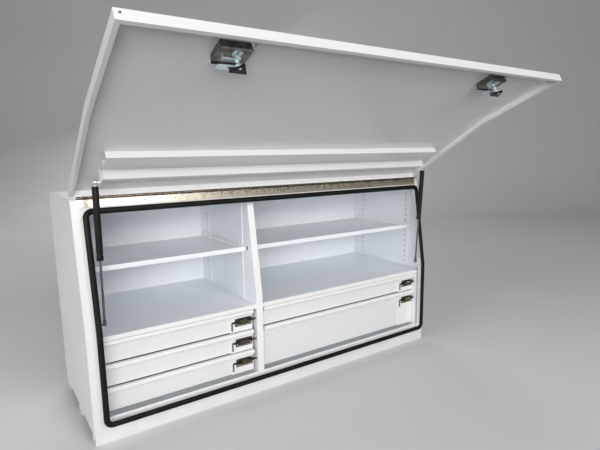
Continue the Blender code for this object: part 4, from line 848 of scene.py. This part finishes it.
# %% Build the latches
STRAP_LONG, PLATE_DROP, PLATE_EDGE = 0.021, 0.006, 0.0005
STRIP_IN, STRIP_THICK, STRIP_DROP, STRIP_RISE, STRIP_EDGE = 0.001, 0.0008, 0.003, 0.001, 0.0003
SCREW_HEAD, SCREW_FROM_END, SCREW_FROM_EDGE = (0.0027, 0.0013), 0.008, 0.0042
SPRING_R, SPRING_WIRE, SPRING_TURNS = BOLT_R + 0.0011, 0.0008, 8
TAIL_R, TAIL_EDGE, TIP_EDGE = 0.0025, 0.0008, 0.0012
for drawer in DRAWERS:
    latch, bolt = drawer + "_latch", drawer + "_bolt"
    (x0, y0, z0), (x1, y1, z1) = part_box(latch)
    (tail_x, bolt_y0, tail_z), (tip_x, bolt_y1, top_z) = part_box(bolt)
    z, axis_y = (z0 + z1) / 2, (bolt_y0 + bolt_y1) / 2
    line = facing((0.0, axis_y, z), SIDEWAYS)
    plate_y = y1 - STRAP
    housing = [block(x0, x1, plate_y, y1, z0 - PLATE_DROP, z1, PLATE_EDGE)]
    housing += [bent_strap(x0, x0 + STRAP_LONG, axis_y, y1 - STRAP / 2, z)]
    housing += [bent_strap(x1 - STRAP_LONG, x1, axis_y, y1 - STRAP / 2, z)]
    # A bright strip along the plate's foot: a painted highlight.
    bright = [block(x0 + STRIP_IN, x1 - STRIP_IN, plate_y - STRIP_THICK, plate_y, z0 - STRIP_DROP,
                    z0 + STRIP_RISE, STRIP_EDGE, 1)]
    for x in (x0 + SCREW_FROM_END, x1 - SCREW_FROM_END):
        for height in (z0 + SCREW_FROM_EDGE, z1 - SCREW_FROM_EDGE):
            bright.append(moved(dome(*SCREW_HEAD), facing((x, plate_y, height), OUTWARD)))
    spring = coil(SPRING_R, SPRING_WIRE, x1 - x0 - 2 * STRAP_LONG, SPRING_TURNS)
    bright.append(moved(spring, facing((x0 + STRAP_LONG, axis_y, z), SIDEWAYS)))
    settle(latch + "_straps", gathered(housing), home_body[latch], latch_shade_steel, (latch,))
    settle(latch + "_spring", gathered(bright), home_body[latch], latch_highlight_steel, (latch,))
    bar = moved(pin(BOLT_R, tail_x + TAIL_R, tip_x, TIP_EDGE), line)
    tail_end = facing((tail_x + TAIL_R, axis_y, tail_z), UPWARD)
    tail = moved(pin(TAIL_R, 0.0, z - tail_z, TAIL_EDGE), tail_end)
    settle(bolt + "_steel", gathered([bar, tail]), home_body[bolt], latch_shade_steel, (bolt,))
print("latches:", len(DRAWERS), "with", SPRING_TURNS, "turns of spring each")

# %% [markdown]
# ## Last small things
# The seal is one length whose two ends meet on the sill, and the meeting shows as a thin dark line. The
# lid's free edge has a small drain hole in its left corner, drawn as a dark ring: painted shade inside the
# hole. The slits between the drawers, the slots in the perforated uprights and a gap beside the left shelf's
# front end look dark too, because little light gets in. All are drawn as thin dark pieces: painted shade.

# %% The seal's join and the drain hole
JOIN_X, JOIN_WIDE, JOIN_PROUD = -0.1563, 0.0012, 1.006
outline = [(JOIN_X, -out, SILL - spread * JOIN_PROUD) for spread, out in seal_skin]
join = bend(pulled(outline, (JOIN_WIDE, 0.0, 0.0)))
settle("door_seal_join", join, "carcass", black_enamel_and_shade)
DRAIN_AT, DRAIN_BORE, DRAIN_R, DRAIN_PROUD = (-0.835, -0.030, 0.052), 0.0012, 0.0032, 0.0004
# A dark ring where the hole is: painted shade inside it.
drain = moved(tube(DRAIN_BORE, DRAIN_R, 0.0, DRAIN_PROUD, HAIR_EDGE), facing(DRAIN_AT, DOWNWARD))
settle("lid_drain_hole", on_lid(drain), "lid", black_enamel_and_shade)
print("seal join at x = %.3f" % JOIN_X)

# %% Shade the slits and the slots
SLIT_PROUD, SLIT_DEEP, SLIT_IN, SLIT_PLAY, SLIT_RISE = 0.0004, 0.004, 0.002, 0.0004, 0.0014
SHADE_BACK, SHADE_FACE, SHADE_HALF, SHADE_ENDS, SHADE_IN = 0.0004, 0.0012, 0.0032, 0.012, 0.0225
STACKED = (("left_top", "left_middle"), ("left_middle", "left_bottom"), ("right_shallow", "right_deep"))
for upper, lower in STACKED:
    node = upper + "_drawer"
    low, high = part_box(node)
    face_y, slit = low.y + LIP_DEEP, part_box(lower + "_drawer")[1].z
    # A near-black strip behind each slit: painted shade.
    shade = block(low.x + SLIT_IN, high.x - SLIT_IN, face_y - SLIT_PROUD, face_y + SLIT_DEEP,
                  slit + SLIT_PLAY, low.z + SLIT_RISE, FINE_EDGE, 1)
    settle(node + "_slit", shade, home_body[node], black_enamel_and_shade)
for node, way in zip(STANDARDS, (1.0, -1.0, 1.0, -1.0)):
    low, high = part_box(node)
    wall_x = low.x if way > 0.0 else high.x
    near, far = sorted((wall_x + way * SHADE_BACK, wall_x + way * SHADE_FACE))
    columns = [block(near, far, y - SHADE_HALF, y + SHADE_HALF, low.z + SHADE_ENDS, high.z - SHADE_ENDS,
                     HAIR_EDGE, 1) for y in (low.y + SHADE_IN, high.y - SHADE_IN)]
    settle(node + "_slot_shade", gathered(columns), "carcass", shade_paint)
# A dark block in the gap between the left shelf's front end and the partition: painted shade.
GAP_SHADE_X, GAP_SHADE_Y, GAP_SHADE_Z = (-0.1768, -0.1762), (-0.209, -0.201), (0.613, 0.631)
gap_shade = block(*GAP_SHADE_X, *GAP_SHADE_Y, *GAP_SHADE_Z, FINE_EDGE, 1)
settle("partition_clip_slot", gap_shade, "carcass", black_enamel_and_shade)
print("slits shaded:", len(STACKED), "uprights shaded:", 2 * len(STANDARDS))

# %% [markdown]
# ## Floor, light and the end of the lesson
# The chest stands on a pale sweep that curves up behind it. A floor this pale would throw so much light up
# that the inside of the lid would lose its grey, so a Light Path node shows diffuse rays a darker floor than
# the camera sees. Two large soft lamps beside and above the camera light the front and reach into the bays,
# a third on the left keeps the side panel white, a weak one behind does the same for the back, and the world
# only fills the shade.

# %% The studio sweep
SWEEP_FRONT, SWEEP_BACK, SWEEP_ROUND, SWEEP_HALF, SWEEP_TOP, SWEEP_STEPS = -16.0, 5.0, 3.0, 22.0, 14.0, 12
sweep = bmesh.new()
profile = [(SWEEP_FRONT, 0.0), (SWEEP_BACK, 0.0)]
for step in range(1, SWEEP_STEPS + 1):
    angle = math.radians(90.0 * step / SWEEP_STEPS)
    profile.append((SWEEP_BACK + SWEEP_ROUND * math.sin(angle), SWEEP_ROUND - SWEEP_ROUND * math.cos(angle)))
profile.append((SWEEP_BACK + SWEEP_ROUND, SWEEP_TOP))
verts = [sweep.verts.new((-SWEEP_HALF, y, z)) for y, z in profile]
chain = [sweep.edges.new(pair) for pair in zip(verts, verts[1:])]
grown = bmesh.ops.extrude_edge_only(sweep, edges=chain)["geom"]
bmesh.ops.translate(sweep, verts=[item for item in grown if isinstance(item, bmesh.types.BMVert)],
                    vec=(2 * SWEEP_HALF, 0.0, 0.0))
moved(sweep, Matrix.Rotation(-CAMERA_YAW, 4, "Z"))
floor_mesh = bpy.data.meshes.new("studio_sweep")
sweep.to_mesh(floor_mesh)
sweep.free()
for face in floor_mesh.polygons:
    face.use_smooth = True
studio, tree, shader = start_finish("studio_sweep")
tones = use_group(tree, drift, Tone=(0.74, 0.74, 0.75, 1.0), Drift=(0.71, 0.71, 0.72, 1.0), Patches=0.6)
path = add(tree, "LightPath").outputs
mirrored = joined(tree, "MAXIMUM", path["Is Glossy Ray"], path["Is Transmission Ray"])
seen = joined(tree, "MAXIMUM", path["Is Camera Ray"], mirrored)
floor_colour = mixed(tree, seen, (0.26, 0.26, 0.27, 1.0), tones["Colour"])
tree.links.new(floor_colour, shader.inputs["Base Color"])
tree.links.new(ranged(tree, tones["Mask"], 0.0, 1.0, 0.80, 0.90), shader.inputs["Roughness"])
floor_mesh.materials.append(studio)
floor = bpy.data.objects.new("studio_sweep", floor_mesh)
bpy.context.scene.collection.objects.link(floor)
print("sweep: %.0f m wide" % (2 * SWEEP_HALF))


# %% Lamps and world
SOFT_WHITE = (1.0, 0.995, 0.985)
LIT_SPOT = Vector((0.0, 0.0, 0.55))


def lamp(name, place, size, power):
    light = bpy.data.lights.new(name, "AREA")
    light.shape = "RECTANGLE"
    light.size, light.size_y = size
    light.energy = power
    light.color = SOFT_WHITE
    made = bpy.data.objects.new(name, light)
    made.matrix_world = facing(place, Vector(place) - LIT_SPOT)
    bpy.context.scene.collection.objects.link(made)


lamp("left_softbox", (-4.0, -6.4, 1.6), (4.0, 2.4), 265.0)
lamp("front_softbox", (0.0, -6.8, 3.4), (4.0, 2.6), 235.0)
lamp("side_softbox", (-7.0, -1.5, 2.6), (4.0, 3.0), 180.0)
lamp("rear_softbox", (2.0, 7.0, 4.2), (4.0, 3.0), 150.0)
world = bpy.data.worlds.new("studio")
world.use_nodes = True
world.node_tree.nodes["Background"].inputs["Color"].default_value = (0.95, 0.97, 1.0, 1.0)
world.node_tree.nodes["Background"].inputs["Strength"].default_value = 0.15
bpy.context.scene.world = world
bpy.context.scene.view_settings.view_transform = "Standard"
print("lamps:", len(bpy.data.lights))
